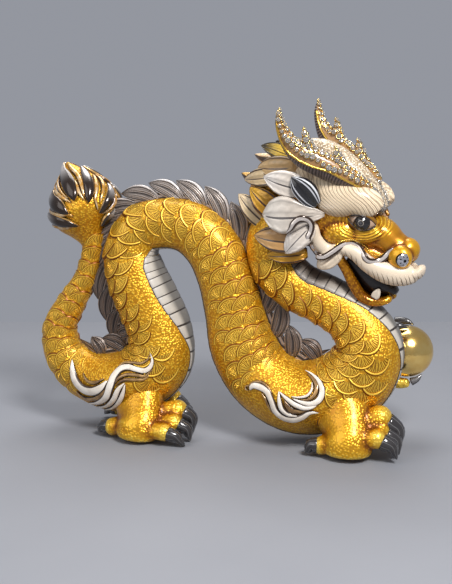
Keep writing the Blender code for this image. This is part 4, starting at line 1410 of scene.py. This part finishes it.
# Each leaf at the side: glaze, root, tip, half width and the direction of its width; NAPE has those between
MANE = [
    ("white", (61, -22.0, 168.5), (36, -27.0, 176.4), 7.8, UPRIGHT),
    ("pale", (73, -22.0, 153.4), (35, -29.0, 153.4), 11.6, UPRIGHT),
    ("beige", (57, -22.0, 136.5), (27.5, -26.5, 139.5), 8.6, UPRIGHT),
    ("white", (65, -23.0, 147.0), (48.5, -27.5, 129.2), 7.2, (-0.6, 0.1, 0.6)),
    ("amber", (60, -19.0, 128.5), (33.5, -23.5, 126.5), 5.8, UPRIGHT),
    ("cream", (33, -12.5, 143.0), (12, -13.5, 163.0), 7.2, (0.7, 0.2, 0.6)),
    ("amber", (44, -18.0, 150.0), (22, -17.5, 168.0), 8.2, (0.7, 0.2, 0.6)),
    ("cream", (46, -17.0, 176.0), (15.5, -11.0, 171.5), 6.0, UPRIGHT),
    ("tan", (54, -17.5, 181.0), (27, -15.0, 180.0), 7.0, UPRIGHT),
    ("black", (54, -12.0, 184.5), (28, -11.0, 193.0), 5.2, (0.2, 0.5, 1)),
]
NAPE = [
    ("tan", (46, 0, 186), (18, 0, 186), 8.0), ("amber", (38, 0, 172), (8, 0, 174), 10.0),
    ("cream", (30, 0, 156), (5, 0, 158), 9.0), ("amber", (24, 0, 146), (9, 0, 140), 7.0),
]
# Each glaze of the mane: slot, body, tip, line, edge, weight of the outline, metallic
MANE_GLAZES = {
    "white": ("cream_glaze", (0.56, 0.49, 0.42), (0.72, 0.66, 0.60), (0.05, 0.04, 0.038),
        (0.60, 0.54, 0.48), 0.0, 0.0),
    "pale": ("cream_glaze", (0.50, 0.43, 0.36), (0.70, 0.64, 0.56), (0.05, 0.04, 0.038),
        (0.52, 0.46, 0.40), 0.15, 0.0),
    "beige": ("cream_glaze", (0.48, 0.26, 0.09), (0.54, 0.32, 0.13), (0.045, 0.025, 0.016),
        (0.07, 0.04, 0.026), 1.0, 0.0),
    "cream": ("cream_glaze", (0.68, 0.50, 0.27), (0.76, 0.59, 0.37), (0.06, 0.032, 0.018),
        (0.55, 0.36, 0.12), 1.0, 0.0),
    "tan": ("cream_glaze", (0.68, 0.43, 0.18), (0.74, 0.51, 0.26), (0.07, 0.035, 0.02),
        (0.08, 0.045, 0.028), 0.8, 0.0),
    "amber": ("amber_glaze", (0.50, 0.235, 0.012), (0.74, 0.40, 0.03), (0.05, 0.02, 0.012),
        (0.06, 0.030, 0.018), 1.0, 0.4),
    "black": ("dark_glaze", (0.66, 0.42, 0.04), (0.03, 0.028, 0.03), (0.02, 0.018, 0.018),
        (0.02, 0.02, 0.022), 1.0, 0.3),
}


def mane_glaze(name, body, tip, line, edge, outline, metallic):
    """Glaze for a leaf: a body colour that runs to another at the tip, a dark vein and an outline."""
    paint = Paint(f"{name} mane glaze", roughness=0.30, metallic=metallic, coat=0.35, Coat_Roughness=0.12)
    u, v = paint.chart()
    off = (u * math.tau + 0.15).math("COSINE").math("ABSOLUTE")
    edge_off = u.swing("COSINE")
    colour = paint.mix(paint.band(v, 0.35, 0.95), body, tip)
    waves = (v * 40 + off * 12 + paint.noise(180, 2) * 3).math("SINE") * 0.5 + 0.5
    strokes = waves * paint.band(off, 0.15, 0.6)
    shade = strokes * 0.12 + paint.band(paint.noise(260, 4, rough=0.7), 0.35, 0.75) * 0.30
    colour = paint.mix(shade, colour, tuple(channel * 0.5 for channel in body))
    vein = paint.band(off, 0.085, 0.04) * paint.band(v, 0.95, 0.90) * paint.band(v, 0.10, 0.2)
    rim = paint.band(edge_off.gap(0.80), 0.10, 0.05) * outline
    colour = paint.mix(rim.math("MAXIMUM", vein), colour, line)
    colour = paint.mix(paint.band(edge_off, 0.90, 0.94), colour, edge)
    return paint.finish(colour, strokes, 0.0001)


mane = []
for name, (slot, *looks) in MANE_GLAZES.items():
    leaves = []
    for kind, root, tip, half_width, across in MANE:
        if kind == name:
            spread = WAVE_SPREAD if kind == "pale" else MANE_SPREAD
            leaves += both(leaf_form, root, tip, half_width, across, MANE_THICKNESS, -0.09, spread=spread)
    for kind, root, tip, half_width in NAPE:
        if kind == name:
            nape = dict(bow=0.10, place=HEAD, spread=MANE_SPREAD)
            leaves.append(leaf_form(root, tip, half_width, (0, 1, 0), MANE_THICKNESS, **nape))
    mane.append(belongs(shaped(f"mane_{name}", 36, 22, leaves), mane_glaze(name, *looks)))

# The ribbon: a raised band in silver between two brown lines, from the nostril along the lip and in a curl
# behind the cheek, with a row of gold beads above it.
RIBBON = [
    (111.5, -10, 132.2), (108.5, -10.5, 129.4), (106.5, -11, 126.6), (101.5, -12, 124.0),
    (97.8, -12.5, 125), (94.5, -13.5, 129),
    (90.8, -14.5, 132.8), (87.3, -15, 134.6), (83.1, -16, 134.3), (76.9, -17, 130.2),
    (71.6, -18, 127.1), (67.4, -22, 127.6),
    (64.2, -27, 131.6), (63.3, -29, 137.1), (65.3, -29, 142.8), (66.2, -28, 147.8), (64.2, -29, 151.0),
    (60.9, -30, 152.0),
    (57.5, -30, 149.9), (54.9, -30, 145.8), (52, -30, 143.2),
]
cheek_skins = [surface(piece, HEAD) for piece in (face, lip, *mane)]


def laid_band(skins, route, thick, wide, lift, steps=60):
    """Stations of a band pressed on the skins, which thins out at its ends."""
    rows = pressed(skins, route, lift, steps)
    ends = np.clip(np.minimum(np.arange(steps), np.arange(steps)[::-1]) / 5 + 0.25, 0, 1)
    return [(*row, thick * end, wide * end) for row, end in zip(rows, ends)]


def banded_glaze(name, middle, edge):
    """A band with another colour along its two edges."""
    paint = Paint(name, roughness=0.18, metallic=0.5, coat=0.4, Coat_Roughness=0.08)
    u, v = paint.chart()
    off = u.swing("SINE")
    return paint.finish(paint.mix(paint.band(off, 0.42, 0.52), middle, edge))


ribbon = both(tube_form, laid_band(cheek_skins, RIBBON, 1.2, 2.1, 0.6))
ribbon_glaze = banded_glaze("ribbon glaze", (0.62, 0.55, 0.50), (0.045, 0.024, 0.014))
belongs(shaped("lip_ribbon", 20, 200, ribbon), ribbon_glaze)
BEADS = 62
bead_route = [(px, y, pz + 2.7) for px, y, pz in RIBBON[1:10]]
bead_route[0] = (107, -10.5, 130.5)
beads = both(
    tube_form, laid_band(cheek_skins, bead_route, 0.55, 0.55, 0.1),
    relief=lambda u, v: 0.28 * np.abs(np.sin(v * math.pi * BEADS)) - 0.2,
)
belongs(shaped("lip_beads", 8, 340, beads), plain("bead gold", (0.80, 0.52, 0.10), 0.2, 0.8))

# The antlers: part of the casting, swept back to upturned tips with two prongs each. On both faces they are
# tan above a fine raised gold line, and dark with close ribs below it.
BEAM = [
    (98, -7, 166, 3, 3), (90, -13, 171.5, 4.5, 5), (80, -18, 177.5, 5.2, 6.8), (70, -22.5, 183.5, 5.2, 7.2),
    (61, -26, 189, 4.6, 6.8), (55, -28.5, 195.5, 3.6, 5.2), (51, -30, 203.5, 2.8, 3.4),
    (49.5, -31, 211, 2.0, 2.2),
    (50.2, -31, 217.0, 0.4, 0.4),
]
PRONGS = [
    [(67, -24, 188, 2.8, 3.4), (64, -26, 198, 2.0, 2.4), (63.2, -27, 205.5, 0.4, 0.4)],
    [(83, -17, 180, 2.8, 3.4), (80.5, -19, 187.5, 1.8, 2.2), (80, -20, 193.5, 0.4, 0.4)],
]
RIM = [
    (97, -10, 166.6), (92.8, -14, 169.5), (85.4, -17, 174.5), (77.1, -21, 179.7), (67.7, -26, 183.3),
    (60.8, -28, 187.0),
    (54.4, -30, 192.4), (50.8, -31, 198.8), (49.2, -31, 206), (49.0, -31, 212), (49.8, -31, 217.5),
]
INNER_RIM = [
    (94, -8, 172.0), (88, -11, 176.0), (78, -16, 182.0), (68, -21, 187.0), (60, -25, 192.0),
    (53.5, -28, 199.0),
    (50.6, -29, 206.5), (49.6, -30, 213.0),
]
antler_parts = both(tube_form, BEAM)
for prong in PRONGS:
    antler_parts += both(tube_form, prong)
antlers = melted("antlers", antler_parts, 0.7, 3)


def beside(line, x, z):
    """The distance along a line in x and z of each point's nearest place on it, and how far below it lies."""
    line = np.array(smooth(line, 240))[:, (0, 2)]
    step = np.gradient(line, axis=0)
    nearest = np.argmin((x[:, None] - line[:, 0]) ** 2 + (z[:, None] - line[:, 1]) ** 2, axis=1)
    away = np.stack([x, z], axis=1) - line[nearest]
    along = np.cumsum(np.linalg.norm(step, axis=1))[nearest]
    heading = step[nearest] / np.linalg.norm(step[nearest], axis=1, keepdims=True)
    return along, heading[:, 0] * away[:, 1] - heading[:, 1] * away[:, 0]


x, side, z = points_of(antlers, HEAD).T
along, below = beside(RIM, x, z)
_, inner_below = beside(INNER_RIM, x, z)
inside = np.abs(side) < np.interp(x, *np.abs(np.array(BEAM)[::-1, :2]).T)
mark(antlers, "along", along)
mark(antlers, "below", np.where(inside, inner_below, below))


def antler_glaze():
    """Tan above the gold line and ribbed dark brown below it."""
    paint = Paint("antler glaze", roughness=0.32, coat=0.35, Coat_Roughness=0.15)
    along = paint.read("along") + paint.noise(120, 1) * 0.6
    under = paint.band(paint.read("below"), -0.25, 0.25)
    rib = (along * (math.tau / 1.75)).math("SINE") * 0.5 + 0.5
    dark = paint.mix(rib, (0.030, 0.018, 0.014), (0.19, 0.13, 0.11))
    tan = paint.mix(paint.noise(160, 3), (0.36, 0.20, 0.075), (0.22, 0.11, 0.04))
    return paint.finish(paint.mix(under, tan, dark), rib * under, 0.0006)


belongs(antlers, antler_glaze())
antler_skin = surface(antlers, HEAD)
rims = both(tube_form, laid_band([antler_skin], RIM[:-1], 0.8, 0.75, 0.2))
inner = [antler_skin.find_nearest(Vector(row) + Vector((0, 7, 0)))[0] for row in smooth(INNER_RIM, 60)]
rims += both(tube_form, [(*point, 0.75, 0.75) for point in inner])
belongs(shaped("antler_rims", 12, 90, rims), plain("rim gold", (0.80, 0.50, 0.09), 0.15, 0.8))

# The crystals: clear cut stones set close together along the top of the antlers, each in a gold cup, and in
# a strip of small ones without cups down the forehead.
STONE_RADIUS = 1.5
# Each line of stones: its route, the gap between stones of a row, and the rows' directions from the route
STONE_ROWS = [
    (BEAM, 3.5, ((0.28, -0.85, 0.5), (0.48, -0.30, 0.85), (0.5, 0.35, 0.8))),
    (PRONGS[0], 3.2, ((0.5, -0.9, 0.2), (0.9, -0.1, 0.4), (0.5, 0.8, 0.3))),
    (PRONGS[1], 3.2, ((0.4, -0.9, 0.2), (0.9, -0.1, 0.4), (0.5, 0.8, 0.3))),
]


# Widths and rises of a cut stone and of its cup, ring by ring from the top, and their twist in turns
STONE = ((0, 0.58, 0.86, 1.0, 0.55, 0), (0.62, 0.60, 0.38, 0.0, -0.45, -0.75), 5 / 16)
CUP = ((0.75, 1.02, 1.22, 1.10, 0.5), (-0.35, 0.10, 0.0, -0.65, -1.1), 0)


def set_form(profile, centre, out, radius, place):
    """A stone or its cup, turned about the direction that the stone faces."""
    out, first, second = facing(out, (0.3, 0.2, 1))
    widths, rises, twist = profile
    steps = np.linspace(0, 1, len(widths))

    def form(u, v):
        width, rise = np.interp(v, steps, widths), np.interp(v, steps, rises)
        turn = (u + v * twist) * math.tau
        ring = np.outer(np.cos(turn) * width, first) + np.outer(np.sin(turn) * width, second)
        return placed_by(place, np.array(centre) + (ring + np.outer(rise, out)) * radius)

    return form


def settings():
    """Where the stones sit on the near side: place, direction and radius."""
    found = []
    for line, gap, rows in STONE_ROWS:
        count = int(distances_along(np.array(line)[:, :3])[-1] / gap) * len(rows)
        for i, centre in enumerate(smooth(line, count + 1)):
            turned = np.array(rows[i % len(rows)]) + (0, 0.12 * math.sin(i * 2.3), 0.12 * math.cos(i * 1.7))
            direction = Vector(unit(turned))
            hit, normal, _, _ = antler_skin.ray_cast(Vector(centre[:3]) + direction * 30, -direction)
            if hit is None or (line is not BEAM and i < 2):
                continue
            radius = np.interp(i / count, (0, 0.15, 0.35, 0.7, 1), (0.75, 0.95, 1.05, 1.0, 0.72))
            radius *= STONE_RADIUS * (1 + 0.16 * math.sin(i * 3.7))
            found.append((hit + normal * 0.5 * radius, normal, radius))
    return found


FOREHEAD = [
    (92, -8, 170.5), (96.3, -6.5, 167.6), (100.0, -5, 162.5), (103.0, -4.5, 156.5), (104.4, -4, 150.6),
    (103.6, -4, 146.5),
]


def glitter_places():
    """Small stones strewn down the forehead in four rows."""
    tree = surface(brow, HEAD)
    found = []
    for row in (-1.5, -0.5, 0.5, 1.5):
        for i, centre in enumerate(smooth(FOREHEAD, 26)):
            wander = math.sin(i * 2.4 + row * 1.7) * 0.35
            hit, normal, _, _ = tree.find_nearest(Vector(centre) + Vector((0, row * 1.5 + wander, 0)))
            found.append((hit + normal * 0.15, normal, 0.72 + 0.18 * math.sin(i * 1.9 + row)))
    return found


stones, cups = [], []
for stone in settings():
    stones += both(set_form, STONE, *stone)
    cups += both(set_form, CUP, *stone)
for stone in glitter_places():
    stones += both(set_form, STONE, *stone)


def crystal():
    """Clear crystal."""
    paint = Paint("clear crystal", roughness=0.02, Transmission_Weight=0.85, IOR=1.7)
    return paint.finish(paint.mix(paint.noise(500, 1), (0.95, 0.95, 0.95), (0.88, 0.86, 0.82)))


gems = shaped("crystals", 8, 5, stones)
gems.data.shade_flat()
belongs(gems, crystal())
belongs(shaped("crystal_cups", 8, 4, cups), plain("cup gold", (0.84, 0.60, 0.22), 0.16, 1.0))
